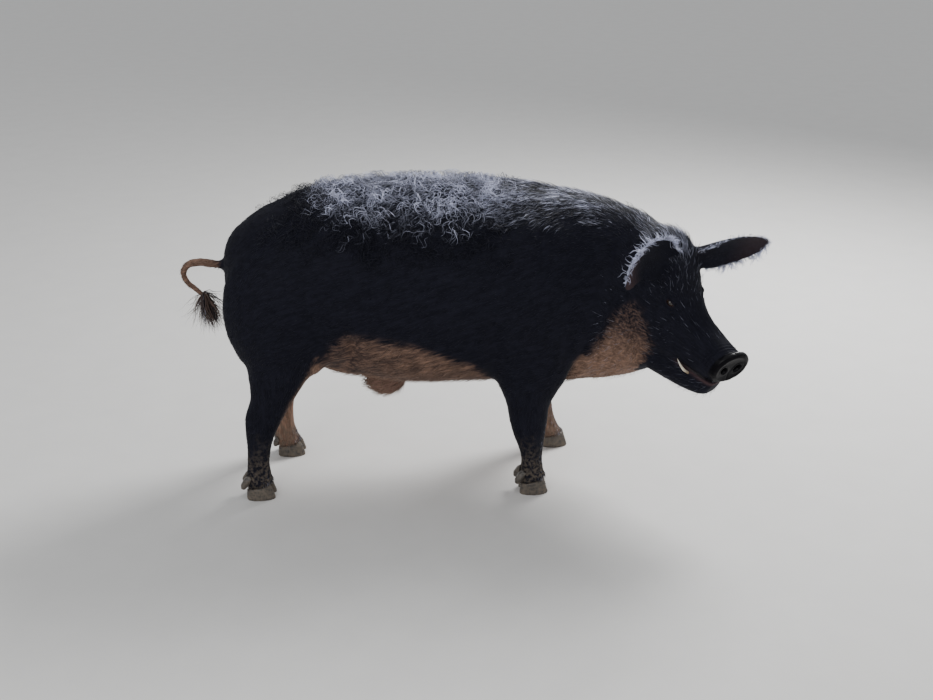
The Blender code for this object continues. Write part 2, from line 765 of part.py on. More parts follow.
def carve(obj, neighbour):
    """Cuts the neighbour's shape, grown by the gap, out of the object."""
    cutter = grown(neighbour, GAP)
    boolean(obj, cutter, "DIFFERENCE")
    remove(cutter)


def eye(word, head, frame):
    place = mirrored(EYE_PLACE, SIDES[word])
    ball = ellipsoid("eye_" + word, place, (EYE_RADIUS,) * 3, frame, EYE_BALL)
    carve(head, ball)
    return ball


def ear_rings(word, frame):
    """A cupped leaf: rings round its thickness from the root to the tip."""
    side = SIDES[word]
    yaw = math.radians(HEAD_TURN)
    fore = Vector((math.cos(yaw), -math.sin(yaw), 0.0))
    out = Vector((math.sin(yaw), math.cos(yaw), 0.0)) * side
    up = Vector((0.0, 0.0, 1.0))
    at_root, at_tip, down = EAR_POSES[word]
    facing = fore * EAR_FACES_AHEAD - up * down
    start, end = (out * shares[0] + fore * shares[1] + up * shares[2] for shares in (at_root, at_tip))
    centre = frame @ mirrored(EAR_ROOT, side)
    rings, before = [], 0.0
    for share, breadth, cup, thick in smooth_table(EAR_SHAPE, EAR_STEPS):
        bend = max(0.0, (share - EAR_BEND_START) / (1.0 - EAR_BEND_START))
        along = start.lerp(end, bend).normalized()
        centre = centre + along * EAR_LENGTH * (share - before)
        before = share
        across = facing.cross(along).normalized() * side
        normal = along.cross(across).normalized() * side
        ring = []
        for face in (1, -1):
            for v in EAR_SECTION[::face]:
                half = 0.5 * EAR_THICKNESS * thick * (1.0 - (1.0 - EAR_RIM) * v * v) * face
                ring.append(centre + across * (EAR_HALF_WIDTH * breadth * v) + normal * (cup * v * v + half))
        rings.append(ring)
    return rings


def ear(word, head, frame):
    piece = loft("ear_" + word, ear_rings(word, frame))
    carve(piece, head)
    return piece


def tusk(word, frame, neighbours):
    """A slim curved cone out of the lower lip."""
    root, tip = (frame @ mirrored(place, SIDES[word]) for place in (TUSK_ROOT, TUSK_TIP))
    bow = frame.to_3x3() @ mirrored(TUSK_BOW, SIDES[word])
    rows = []
    for step in range(TUSK_STEPS + 1):
        share = step / TUSK_STEPS
        point = root.lerp(tip, share) + bow * math.sin(math.pi * share)
        rows.append((*point, TUSK_RADIUS * (1.0 - share) ** 0.7 + TUSK_TIP_RADIUS))
    piece = tube("tusk_" + word, rows, CLAW_SIDES)
    for neighbour in neighbours:
        carve(piece, neighbour)
    return piece


def hoof(name, foot, side):
    """One half of the cloven hoof: flat sole, pointed toe, crown that slopes back."""
    foot_x, foot_y = FEET[foot]
    rings = []
    for share, length, width, back in HOOF_PROFILE:
        ring = []
        for k in range(HOOF_POINTS):
            angle = 2 * math.pi * k / HOOF_POINTS
            x = HOOF_AHEAD + 0.5 * HOOF_LENGTH * length * math.cos(angle) - back
            narrowed = 1.0 - HOOF_TOE * max(0.0, math.cos(angle)) ** 2
            y = side * HOOF_SPREAD + 0.5 * HOOF_WIDTH * width * math.sin(angle) * narrowed
            crown = HOOF_HEIGHT + HOOF_SLOPE * x - GAP
            ring.append(Vector((foot_x + x, foot_y + y, crown * share)))
        rings.append(ring)
    return loft(name, rings)


def dewclaw(name, foot, side, pastern):
    """A small blunt claw behind the pastern, clear of the ground."""
    foot_x, foot_y = FEET[foot]
    rows = [(foot_x + x, foot_y + side * y, z, radius) for x, y, z, radius in DEWCLAW_ROWS]
    piece = tube(name, rows, CLAW_SIDES)
    carve(piece, pastern)
    return piece


def tassel(tail):
    piece = tube("tail_tassel", smooth_table(TASSEL_RINGS, 1), TASSEL_SIDES)
    carve(piece, tail)
    return piece


# finish
def material(name, colour, roughness):
    found = bpy.data.materials.new(name)
    found.use_nodes = True
    found.diffuse_color = (*colour, 1.0)
    shader = found.node_tree.nodes["Principled BSDF"]
    shader.inputs["Base Color"].default_value = (*colour, 1.0)
    shader.inputs["Roughness"].default_value = roughness
    shader.inputs["Metallic"].default_value = 0.0
    return found


def colour_pieces():
    made = {name: material(name, *values) for name, values in MATERIALS.items()}
    for obj in bpy.data.objects:
        words = [word for word in obj.name.split("_") if word not in ("left", "right")]
        chosen = MATERIAL_BY_PIECE.get(obj.name) or MATERIAL_BY_PIECE.get(words[-1], "dark_coat")
        obj.data.materials.clear()
        obj.data.materials.append(made[chosen])
        obj.data.polygons.foreach_set("use_smooth", [True] * len(obj.data.polygons))


def centre_on_floor():
    """Moves everything so that the origin is under the middle of the bounding box, on the floor."""
    points = np.array([vertex.co for obj in bpy.data.objects for vertex in obj.data.vertices])
    low, high = points.min(axis=0), points.max(axis=0)
    shift = Matrix.Translation((-0.5 * (low[0] + high[0]), -0.5 * (low[1] + high[1]), -low[2]))
    for obj in bpy.data.objects:
        obj.data.transform(shift)
    print("moved by", [round(value, 5) for value in shift.translation])


def clear_scene():
    for obj in list(bpy.data.objects):
        bpy.data.objects.remove(obj)


def main():
    clear_scene()
    frame = head_frame()
    body = blended_body(frame)
    thin_out(body, BODY_TRIANGLES)
    flesh = part_tail(body)
    flesh += part_legs(body)
    flesh += part_head(body, frame)
    flesh += part_trunk(body)
    for piece in flesh:
        thin_out(piece, BUDGETS.get(piece.name) or BUDGETS[piece.name.rsplit("_", 1)[-1]])
    named = {piece.name: piece for piece in flesh}
    snout_disc()
    for word in SIDES:
        ear(word, named["head"], frame)
        tusk(word, frame, (named["muzzle"], named["lower_jaw"], named["head"]))
    for word in SIDES:
        eye(word, named["head"], frame)
    for foot in FEET:
        for word, side in SIDES.items():
            hoof(f"{foot}_hoof_{word}", foot, side)
            dewclaw(f"{foot}_dewclaw_{word}", foot, side, named[foot + "_pastern"])
    tassel(named["tail_base"])
    colour_pieces()
    centre_on_floor()


main()
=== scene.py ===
import math
import time
import bmesh
import bpy
import numpy as np
from mathutils import Matrix, Vector
from mathutils.bvhtree import BVHTree
from mathutils.kdtree import KDTree


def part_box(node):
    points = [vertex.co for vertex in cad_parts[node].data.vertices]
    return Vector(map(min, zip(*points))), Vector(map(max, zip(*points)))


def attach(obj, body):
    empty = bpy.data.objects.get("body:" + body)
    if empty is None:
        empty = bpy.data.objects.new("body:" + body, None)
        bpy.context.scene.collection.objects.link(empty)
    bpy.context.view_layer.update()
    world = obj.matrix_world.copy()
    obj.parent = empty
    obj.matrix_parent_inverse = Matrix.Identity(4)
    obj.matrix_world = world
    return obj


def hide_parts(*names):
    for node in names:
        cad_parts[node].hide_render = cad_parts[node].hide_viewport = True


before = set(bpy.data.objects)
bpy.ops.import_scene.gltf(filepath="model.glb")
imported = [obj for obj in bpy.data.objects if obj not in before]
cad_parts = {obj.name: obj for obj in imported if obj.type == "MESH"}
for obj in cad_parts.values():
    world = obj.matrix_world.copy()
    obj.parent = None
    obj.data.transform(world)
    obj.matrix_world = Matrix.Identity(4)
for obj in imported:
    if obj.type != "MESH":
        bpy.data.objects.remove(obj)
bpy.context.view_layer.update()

startTime = time.time()
legNames = ("fore_right", "fore_left", "hind_right", "hind_left")


def report(stage):
    print(f"{stage}: {time.time() - startTime:.1f} s")


def midBox(*nodes):
    corners = np.array([np.array(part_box(node)) for node in nodes])
    return 0.5 * (corners[:, 0].min(axis=0) + corners[:, 1].max(axis=0))


# places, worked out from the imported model
headSettings = {
    "dip": 30.0,  # degrees of the snout's axis below level
    "eyePlace": (0.136, 0.058),  # eyes ahead of and above the head's origin
    "earRoot": (0.060, 0.066, 0.128),  # the left one, in the head's frame
    "discTurn": 66.0,
    "discDip": 26.0,
    # the head, its finer skin and its mouth lie ahead of these distances from the trunk's origin
    "rear": 0.52,
    "fineRear": 0.50,
    "mouthRear": 0.60,
}
nearFootPlace = (0.322, -0.139)  # the near fore foot from the floor's point under the trunk
headWords = ("head", "muzzle", "jaw", "snout_disc")
limbWords = ("forearm", "cannon", "shank", "pastern")


def axesFrom(turn, dip, origin):
    # x ahead, y left, z up; turn is to the animal's right, dip is downwards
    ahead = Vector((math.cos(dip) * math.cos(turn), -math.cos(dip) * math.sin(turn), -math.sin(dip)))
    left = Vector((math.sin(turn), math.cos(turn), 0.0))
    found = Matrix((ahead, left, ahead.cross(left))).transposed().to_4x4()
    found.translation = origin
    return found


def findHead():
    leftEye, rightEye = midBox("eye_left"), midBox("eye_right")
    across = leftEye - rightEye
    turn = math.atan2(across[0], across[1])
    head = axesFrom(turn, math.radians(headSettings["dip"]), Vector(0.5 * (leftEye + rightEye)))
    ahead, above = headSettings["eyePlace"]
    head.translation = head @ Vector((-ahead, 0.0, -above))
    return head


headAxes = findHead()
headAhead, headLeft, headUp = np.array(headAxes.to_3x3()).T
discAxes = axesFrom(
    math.radians(headSettings["discTurn"]),
    math.radians(headSettings["discDip"]),
    Vector(midBox("snout_disc")),
)
nearFoot = midBox("fore_right_hoof_left", "fore_right_hoof_right")
trunkOrigin = np.array((nearFoot[0] - nearFootPlace[0], nearFoot[1] - nearFootPlace[1], 0.0))


def within(axes, points):
    inverse = np.array(axes.inverted())
    return points @ inverse[:3, :3].T + inverse[:3, 3]


def ramp(values, low, high):
    share = np.clip((values - low) / (high - low), 0.0, 1.0)
    return share * share * (3.0 - 2.0 * share)


def fall(values, low, high):
    return ramp(-values, -high, -low)


def bell(values, middle, width):
    return np.exp(-(((values - middle) / width) ** 2))


def unit(vectors):
    return vectors / np.maximum(np.linalg.norm(vectors, axis=1), 1e-9)[:, None]


def aheadOf(points, rear):
    return points[:, 0] > trunkOrigin[0] + rear


def earRoots():
    # each ear's name, and its root in the head's frame
    for name, side in (("ear_left", 1), ("ear_right", -1)):
        yield name, np.array(headSettings["earRoot"]) * (1, side, 1)


# the skin: all flesh joined, closed over the thin cuts, fined on the head and worked
skinSettings = {
    "grid": 0.005,  # size of its quads on the trunk; half of that on the head, a quarter on the snout
    "overGrowth": 0.0006,  # closes the cuts between the solids
    "earGrowth": 0.0020,  # keeps the thin rims whole on that grid
    "trunkPasses": 26,  # rounds of smoothing that melt the solids' facets
    "trunkBack": 0.36,  # what each round of smoothing gives back, so that nothing shrinks
    "finePasses": 5,
    "fineBack": 0.50,
    "fineStart": (0.02, 0.14),  # along the head
    "fineSpread": 8,
    "earPasses": 14,
    "earBack": 0.56,
    "headPasses": 4,
    "discEdgePasses": 8,
    "discHalf": (0.054, 0.050),
}
hardWords = ("eye", "tusk", "hoof", "dewclaw", "tassel")
fleshNames = sorted(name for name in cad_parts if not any(word in name for word in hardWords))


def meshArrays(mesh):
    points = np.empty(len(mesh.vertices) * 3)
    mesh.vertices.foreach_get("co", points)
    mesh.calc_loop_triangles()
    corners = np.empty(len(mesh.loop_triangles) * 3, dtype=np.int32)
    mesh.loop_triangles.foreach_get("vertices", corners)
    return points.reshape(-1, 3), corners.reshape(-1, 3)


def vertexNormals(points, corners):
    a, b, c = points[corners[:, 0]], points[corners[:, 1]], points[corners[:, 2]]
    faceNormals = np.cross(b - a, c - a)
    total = np.zeros_like(points)
    for column in range(3):
        for axis in range(3):
            total[:, axis] += np.bincount(corners[:, column], faceNormals[:, axis], len(points))
    return unit(total)


def meshFrom(name, points, faces):
    mesh = bpy.data.meshes.new(name)
    mesh.from_pydata(points.tolist(), [], faces.tolist())
    return mesh


def show(name, mesh):
    piece = bpy.data.objects.new(name, mesh)
    bpy.context.scene.collection.objects.link(piece)
    mesh.polygons.foreach_set("use_smooth", [True] * len(mesh.polygons))
    return piece


def keepPoints(piece, points):
    piece.data.vertices.foreach_set("co", points.ravel())
    piece.data.update()
    piece.data.polygons.foreach_set("use_smooth", [True] * len(piece.data.polygons))


def closeOver(piece, size):
    # gives the piece one closed surface of quads of this size
    remesh = piece.modifiers.new("close", "REMESH")
    remesh.mode = "VOXEL"
    remesh.voxel_size = size
    mesh = bpy.data.meshes.new_from_object(piece.evaluated_get(bpy.context.evaluated_depsgraph_get()))
    piece.modifiers.clear()
    piece.data = mesh
    return piece


def joinedFlesh():
    allPoints, allCorners, start = [], [], 0
    for name in fleshNames + ["eye_left", "eye_right"]:
        points, corners = meshArrays(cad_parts[name].data)
        growth = skinSettings["earGrowth" if name.startswith("ear_") else "overGrowth"]
        points = points + vertexNormals(points, corners) * growth
        allPoints.append(points)
        allCorners.append(corners + start)
        start += len(points)
    piece = show("skin", meshFrom("skin", np.vstack(allPoints), np.vstack(allCorners)))
    return closeOver(piece, skinSettings["grid"])


def refine(mesh, wanted):
    # cuts every edge whose two ends are wanted in half, quads staying quads
    bm = bmesh.new()
    bm.from_mesh(mesh)
    points = np.array([vert.co for vert in bm.verts])
    chosen = wanted(points)
    edges = [edge for edge in bm.edges if chosen[edge.verts[0].index] and chosen[edge.verts[1].index]]
    bmesh.ops.subdivide_edges(bm, edges=edges, cuts=1, use_grid_fill=True)
    bm.to_mesh(mesh)
    bm.free()


refineSettings = {  # which parts of the skin get finer quads
    "headStart": -0.01,
    "tipReach": 0.035,
    "tipRadius": 0.08,
    "eyeRadius": 0.034,
    "eyeAside": 0.04,
}


def onHead(points):
    ahead = within(headAxes, points)[:, 0]
    return (ahead > refineSettings["headStart"]) & aheadOf(points, headSettings["rear"])


def onSnoutTip(points):
    place = within(discAxes, points)
    inRadius = np.hypot(place[:, 1], place[:, 2]) < refineSettings["tipRadius"]
    return inRadius & (np.abs(place[:, 0]) < refineSettings["tipReach"])


def nearEyes(points):
    place = within(headAxes, points)
    eyeAhead, eyeAbove = headSettings["eyePlace"]
    inRadius = np.hypot(place[:, 0] - eyeAhead, place[:, 2] - eyeAbove) < refineSettings["eyeRadius"]
    return inRadius & (np.abs(place[:, 1]) > refineSettings["eyeAside"])


def setShares(mesh, shares):
    for name, values in shares.items():
        attribute = mesh.attributes.new(name, "FLOAT", "POINT")
        attribute.data.foreach_set("value", np.asarray(values, dtype=np.float32))


def handIn(piece, material, slot, *nodes):
    # dresses the piece, hangs it under the root and hides the solids that it stands for
    piece.data.materials.append(material)
    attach(piece, "root")
    if nodes:
        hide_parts(*nodes)


class Surface:
    # a mesh's points with what smoothing them needs
    def __init__(self, mesh):
        self.points, self.corners = meshArrays(mesh)
        ends = np.empty(len(mesh.edges) * 2, dtype=np.int64)
        mesh.edges.foreach_get("vertices", ends)
        self.a, self.b = ends.reshape(-1, 2).T
        self.count = len(self.points)
        self.degree = np.bincount(ends, minlength=self.count)

    def average(self, values):
        total = np.zeros_like(values)
        for axis in range(values.shape[1]):
            total[:, axis] = np.bincount(self.a, values[self.b, axis], self.count)
            total[:, axis] += np.bincount(self.b, values[self.a, axis], self.count)
        return total / self.degree[:, None]

    def blur(self, values, rounds):
        spread = values.reshape(self.count, -1)
        for _ in range(rounds):
            spread = self.average(spread)
        return spread.reshape(values.shape)

    def smooth(self, passes, weights, back=0.0):
        for _ in range(passes):
            self.points += (0.6 * weights)[:, None] * (self.average(self.points) - self.points)
            if back:
                self.points -= (back * weights)[:, None] * (self.average(self.points) - self.points)

    def normals(self):
        return vertexNormals(self.points, self.corners)


def nearestNodes(points, names):
    tree = KDTree(sum(len(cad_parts[name].data.polygons) for name in names))
    count = 0
    for index, name in enumerate(names):
        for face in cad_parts[name].data.polygons:
            tree.insert(face.center, count * len(names) + index)
            count += 1
    tree.balance()
    return np.array([tree.find(point)[1] % len(names) for point in points])


def labelled(labels, *words):
    # true where the nearest flesh node's name holds one of the words
    wanted = [any(word in name for word in words) for name in fleshNames]
    return np.array(wanted)[labels]


# depth of the coat: how far the skin lies below the tips that the solids give
coatDepths = {
    "flank": 0.0045,
    "back": 0.0130,
    "neck": 0.0060,
    "face": 0.0018,
    "disc": 0.0004,
    "ear": 0.0030,
    "leg": 0.0035,
    "foot": 0.0020,
    "tail": 0.0025,
    "bare": 0.0012,
}
depthLimits = {  # where one depth gives way to the next: in the trunk's frame, and along the head
    "backHeight": (0.70, 0.80),
    "backRear": (-0.42, -0.30),
    "backFront": (-0.46, -0.38),
    "crestHeight": (0.66, 0.74),
    "crestRear": (0.36, 0.46),
    "faceStart": (0.02, 0.12),
}


def depthField(surface, labels):
    trunk = surface.points - trunkOrigin
    limits = depthLimits
    depth = np.full(surface.count, coatDepths["flank"])
    onBack = ramp(trunk[:, 2], *limits["backHeight"]) * ramp(-trunk[:, 0], *limits["backFront"])
    onBack *= ramp(trunk[:, 0], *limits["backRear"])
    depth += (coatDepths["back"] - coatDepths["flank"]) * onBack
    crest = ramp(trunk[:, 2], *limits["crestHeight"]) * ramp(trunk[:, 0], *limits["crestRear"])
    depth += (coatDepths["neck"] - coatDepths["flank"]) * crest
    face = ramp(within(headAxes, surface.points)[:, 0], *limits["faceStart"])
    face = face * labelled(labels, "head", "muzzle", "jaw")
    depth += (coatDepths["face"] - depth) * face
    for words, key in (
        (("snout_disc",), "disc"),
        (("ear_",), "ear"),
        (("forearm", "cannon", "shank"), "leg"),
        (("pastern",), "foot"),
        (("tail_base",), "tail"),
        (("scrotum", "sheath"), "bare"),
    ):
        depth[labelled(labels, *words)] = coatDepths[key]
    return surface.blur(depth, 6)


def alongPath(points, path):
    # distance of each point from a chain of straight pieces
    nearest = np.full(len(points), 9.0)
    for start, end in zip(path, path[1:]):
        start, end = np.array(start), np.array(end)
        way = end - start
        share = np.clip((points - start) @ way / (way @ way), 0.0, 1.0)
        nearest = np.minimum(nearest, np.linalg.norm(points - start - share[:, None] * way, axis=1))
    return nearest


# folds of the right side: path in the trunk's frame, width, depth, whether the left has one too
trunkFolds = {
    "flank": (((-0.235, -0.155, 0.375), (-0.2, -0.19, 0.44), (-0.165, -0.205, 0.5)), 0.018, 0.010, True),
    "groin": (((-0.19, -0.11, 0.33), (-0.16, -0.165, 0.4), (-0.15, -0.19, 0.46)), 0.026, 0.010, True),
    "elbow": (((0.195, -0.15, 0.33), (0.215, -0.19, 0.4), (0.205, -0.205, 0.5)), 0.022, 0.006, True),
    "brisket": (((0.4, -0.1, 0.3), (0.435, -0.15, 0.37), (0.45, -0.185, 0.45)), 0.018, 0.006, True),
    "neck": (((0.47, -0.15, 0.37), (0.49, -0.18, 0.46), (0.512, -0.185, 0.56)), 0.014, 0.006, False),
    "throat": (((0.5, -0.09, 0.31), (0.535, -0.15, 0.35), (0.545, -0.19, 0.42)), 0.010, 0.004, False),
    "nape": (((0.52, -0.15, 0.68), (0.5, -0.185, 0.62), (0.498, -0.195, 0.57)), 0.016, 0.004, False),
}
# folds of the head, in its own frame, on both sides: path, width, depth
headFolds = {
    "mouthCorner": (((0.214, 0.064, -0.052), (0.206, 0.07, -0.072), (0.204, 0.07, -0.092)), 0.006, 0.0022),
    "cheek": (((0.15, 0.08, -0.02), (0.185, 0.074, -0.04), (0.2, 0.07, -0.06)), 0.010, 0.0022),
    "browUpper": (((0.1, 0.074, 0.086), (0.128, 0.072, 0.088), (0.156, 0.064, 0.074)), 0.0045, 0.0020),
    "underEye": (((0.112, 0.078, 0.036), (0.136, 0.078, 0.03), (0.16, 0.07, 0.038)), 0.0045, 0.0022),
    "underEyeLow": (((0.106, 0.082, 0.022), (0.138, 0.082, 0.014), (0.17, 0.071, 0.026)), 0.0050, 0.0016),
    "bridgeFirst": (((0.215, 0.02, 0.04), (0.212, 0.044, 0.028), (0.206, 0.058, 0.002)), 0.0050, 0.0013),
    "bridgeSecond": (((0.24, 0.018, 0.038), (0.238, 0.04, 0.026), (0.232, 0.054, 0.0)), 0.0045, 0.0013),
    "bridgeThird": (((0.262, 0.016, 0.038), (0.26, 0.038, 0.024), (0.254, 0.05, 0.0)), 0.0045, 0.0012),
}


def foldShape(distance, width, depth):
    # a groove with a low swell on each side
    groove = -depth * bell(distance, 0.0, width * 0.55)
    return groove + 0.45 * depth * bell(distance, width * 1.5, width * 0.8)


def foldField(points):
    trunk = points - trunkOrigin
    moved = np.zeros(len(points))
    for path, width, depth, both in trunkFolds.values():
        moved += foldShape(alongPath(trunk, path), width, depth)
        if both:
            moved += foldShape(alongPath(trunk * (1, -1, 1), path), width, depth)
    place = within(headAxes, points)
    folded = place * (1, 0, 1) + np.abs(place) * (0, 1, 0)
    for path, width, depth in headFolds.values():
        moved += foldShape(alongPath(folded, path), width, depth)
    return moved


eyeSettings = {
    "radius": 0.0122,
    "facing": (0.34, 0.90, 0.20),  # ahead, outwards, up
    "openingHalf": (0.0108, 0.0050),
    "lid": 0.0020,
    "recess": 0.0036,  # of the ball behind the solid's own
    "slant": 14.0,  # degrees by which the front corner is lower
    "reach": 0.034,  # of the worked skin round the opening
    "behind": 0.012,  # and behind the ball's middle
    "lidEdge": (0.0095, 0.0135),  # where the lid leaves the ball
    # swells and creases round the opening: height, place in openings, width
    "rims": ((0.0016, 1.25, 0.22), (-0.0016, 2.05, 0.28), (0.0010, 2.7, 0.4)),
    "sink": 0.0045,
    "cornea": (0.035, 0.55),  # height and half angle
    "rings": 24,
    "around": 40,
}


def eyeAxes(side):
    # x along the opening, y up, z out of the eye
    turn = headAxes.to_3x3()
    ahead, outward, up = eyeSettings["facing"]
    out = (turn @ Vector((ahead, outward * side, up))).normalized()
    slant = math.radians(eyeSettings["slant"])
    along = turn @ Vector((math.cos(slant), 0.0, -math.sin(slant)))
    along = (along - out * along.dot(out)).normalized()
    axes = Matrix((along, out.cross(along), out)).transposed().to_4x4()
    solid = "eye_left" if side > 0 else "eye_right"
    axes.translation = Vector(midBox(solid)) - out * eyeSettings["recess"]
    return axes


def workEye(points, side):
    # draws the skin over the ball as lids, and sinks it inside the opening
    axes = eyeAxes(side)
    place = within(axes, points)
    flat = np.hypot(place[:, 0], place[:, 1])
    halfLong, halfHigh = eyeSettings["openingHalf"]
    lower = np.where(place[:, 1] * side > 0, 1.0, 0.85)
    opening = np.hypot(place[:, 0] / halfLong, place[:, 1] / (halfHigh * lower))
    ball = eyeSettings["radius"]
    near = (flat < eyeSettings["reach"]) & (place[:, 2] > -eyeSettings["behind"])
    lidHeight = np.sqrt(np.maximum((ball + eyeSettings["lid"]) ** 2 - flat**2, 0.0))
    onLid = fall(flat, *eyeSettings["lidEdge"])
    height = place[:, 2] + onLid * (np.maximum(lidHeight, place[:, 2]) - place[:, 2])
    for rise, middle, width in eyeSettings["rims"]:
        height += rise * bell(opening, middle, width)
    sunk = np.sqrt(np.maximum(ball**2 - flat**2, 0.0)) - eyeSettings["sink"]
    height += fall(opening, 0.90, 1.06) * (sunk - height)
    out = np.array(axes.to_3x3().col[2])
    return points + np.where(near, height - place[:, 2], 0.0)[:, None] * out


snoutSettings = {
    "half": (0.053, 0.0495),  # of the disc, across and up
    "halfThick": 0.0085,
    "dish": 0.0026,
    "rim": 0.0016,
    "edge": 0.0040,
    "nostrilPlace": (0.0205, -0.003),  # beside and above the disc's middle
    "nostrilHalf": (0.0096, 0.0118),
    "nostrilDepth": 0.014,
    "nostrilRim": 0.0014,
    "lipGroove": 0.0010,
    "wrinkle": 0.0011,
    "wrinkleStep": 0.0085,
    "wrinkleReach": 0.042,
    "backGroove": 0.0016,
}


def workSnout(points, normals):
    place = within(discAxes, points)
    halfThick = snoutSettings["halfThick"]
    halfAcross, halfUp = snoutSettings["half"]
    fromMiddle = np.hypot(place[:, 1] / halfAcross, place[:, 2] / halfUp)
    out = np.array(discAxes.to_3x3().col[0])
    facing = ramp(normals @ out, 0.15, 0.6)
    inPit = (place[:, 0] > -0.012) & (fromMiddle < 0.75)
    onFace = np.maximum(facing * (place[:, 0] > -0.004), inPit) * fall(fromMiddle, 0.84, 0.98)
    level = halfThick - snoutSettings["dish"] * (1.0 - ramp(fromMiddle, 0.35, 0.85))
    level = level + snoutSettings["rim"] * bell(fromMiddle, 0.84, 0.12)
    level -= snoutSettings["edge"] * ramp(fromMiddle, 0.84, 1.0)
    halfWide, halfHigh = snoutSettings["nostrilHalf"]
    for side in (1, -1):
        beside = (place[:, 1] * side - snoutSettings["nostrilPlace"][0]) / halfWide
        above = (place[:, 2] - snoutSettings["nostrilPlace"][1]) / halfHigh
        hole = np.hypot(beside - 0.25 * above, above)
        level -= snoutSettings["nostrilDepth"] * fall(hole, 0.55, 1.12)
        level += snoutSettings["nostrilRim"] * bell(hole, 1.35, 0.25)
    level -= snoutSettings["lipGroove"] * bell(place[:, 1], 0.0, 0.003) * ramp(-place[:, 2], 0.0, 0.02)
    points = points + (onFace * (level - place[:, 0]))[:, None] * out
    # wrinkles behind the disc, and the groove that sets it off
    behind = -place[:, 0] - halfThick
    fade = ramp(behind, 0.0, 0.006) * fall(behind, 0.014, snoutSettings["wrinkleReach"])
    upper = ramp(place[:, 2], -0.030, 0.012)
    waves = np.cos(2.0 * math.pi * (behind - 0.004) / snoutSettings["wrinkleStep"])
    waves = waves * (0.7 + 0.3 * np.sin(place[:, 1] * 90.0))
    wrinkles = snoutSettings["wrinkle"] * waves * fade * upper * (fromMiddle < 1.6)
    points = points + normals * wrinkles[:, None]
    groove = bell(behind, 0.0015, 0.0024) * (fromMiddle < 1.3) * (behind > -0.004)
    return points - normals * (snoutSettings["backGroove"] * groove)[:, None]


mouthSettings = {
    "corner": 0.219,
    "cornerHalf": 0.006,
    "middle": (0.225, -0.062),  # one place on the line between the lips, in the head's frame
    "rise": 0.09,  # of that line towards the front
    "depth": 0.0048,
    "width": 0.0036,
    "lip": 0.0014,
    "lowerLip": (-0.0062, 0.0036),  # place and width of each swell
    "upperLip": (0.0066, 0.0040),
}


def mouthHeight(ahead):
    # height of the line between the lips, in the head's frame
    start, height = mouthSettings["middle"]
    return height + mouthSettings["rise"] * (ahead - start)


def workMouth(points, normals):
    place = within(headAxes, points)
    above = place[:, 2] - mouthHeight(place[:, 0])
    corner, cornerHalf = mouthSettings["corner"], mouthSettings["cornerHalf"]
    inLength = ramp(place[:, 0], corner - cornerHalf, corner + cornerHalf)
    inLength = inLength * aheadOf(points, headSettings["mouthRear"])
    swell = bell(above, *mouthSettings["lowerLip"]) + 0.7 * bell(above, *mouthSettings["upperLip"])
    move = -mouthSettings["depth"] * bell(above, 0.0, mouthSettings["width"])
    move += mouthSettings["lip"] * swell
    return points + normals * (move * inLength)[:, None]


def buildSkin():
    piece = joinedFlesh()
    surface = Surface(piece.data)
    headShare = ramp(within(headAxes, surface.points)[:, 0], *skinSettings["fineStart"])
    headShare = headShare * aheadOf(surface.points, headSettings["fineRear"])
    labels = nearestNodes(surface.points, fleshNames)
    thin = labelled(labels, "ear_", "tail_base", "snout_disc", "pastern", "scrotum", "sheath")
    fine = surface.blur(np.maximum(headShare, thin), skinSettings["fineSpread"])
    surface.smooth(skinSettings["trunkPasses"], 1.0 - fine, skinSettings["trunkBack"])
    surface.smooth(skinSettings["finePasses"], fine, skinSettings["fineBack"])
    piece.data.vertices.foreach_set("co", surface.points.ravel())
    refine(piece.data, lambda points: onHead(points) | labelled(labels, "ear_"))
    refine(piece.data, onSnoutTip)
    refine(piece.data, nearEyes)
    surface = Surface(piece.data)
    labels = nearestNodes(surface.points, fleshNames)
    headOnly = labelled(labels, *headWords).astype(float)
    earsOnly = labelled(labels, "ear_").astype(float)
    surface.smooth(skinSettings["headPasses"], headOnly, skinSettings["fineBack"])
    surface.smooth(skinSettings["earPasses"], earsOnly, skinSettings["earBack"])
    report("skin closed")
    surface.points -= surface.normals() * depthField(surface, labels)[:, None]
    surface.points += surface.normals() * foldField(surface.points)[:, None]
    surface.points = workMouth(surface.points, surface.normals())
    for side in (1, -1):
        surface.points = workEye(surface.points, side)
    surface.points = workSnout(surface.points, surface.normals())
    byDisc = within(discAxes, surface.points)
    halfAcross, halfUp = skinSettings["discHalf"]
    edge = bell(np.hypot(byDisc[:, 1] / halfAcross, byDisc[:, 2] / halfUp), 0.98, 0.10)
    surface.smooth(skinSettings["discEdgePasses"], edge * (np.abs(byDisc[:, 0]) < 0.02))
    surface.smooth(1, headOnly * 0.6)
    keepPoints(piece, surface.points)
    report("skin worked")
    return piece, surface, labels


skin, surface, labels = buildSkin()
skinNormals = surface.normals()


# which way the coat lies
tailMiddle = (-0.540, 0.565)  # x and z of the middle of the tail's curl, in the trunk's frame
lieWays = {  # ahead, left, up
    "trunk": (-1.0, 0.0, -0.30),
    "rumpTurn": (0.45, 0.0, -0.80),  # added towards the rump
    "neckDrop": (0.0, 0.0, -0.35),
    "cheekDrop": (0.0, 0.0, -0.5),
    "legs": (-0.15, 0.0, -1.0),
    "thigh": (-0.30, 0.0, -1.0),
    "scrotum": (0.0, 0.0, -1.0),
}
lieLimits = {  # over which one way gives way to the next
    "topHeight": (0.68, 0.80),
    "rumpStart": (0.30, 0.44),
    "neckStart": (0.40, 0.54),
    "cheekStart": (-0.02, 0.08),
    "rounds": 14,
}


def toward(name, share):
    return np.array(lieWays[name]) * share[:, None]


def alongSkin(vectors, normals):
    return vectors - normals * (vectors * normals).sum(axis=1)[:, None]


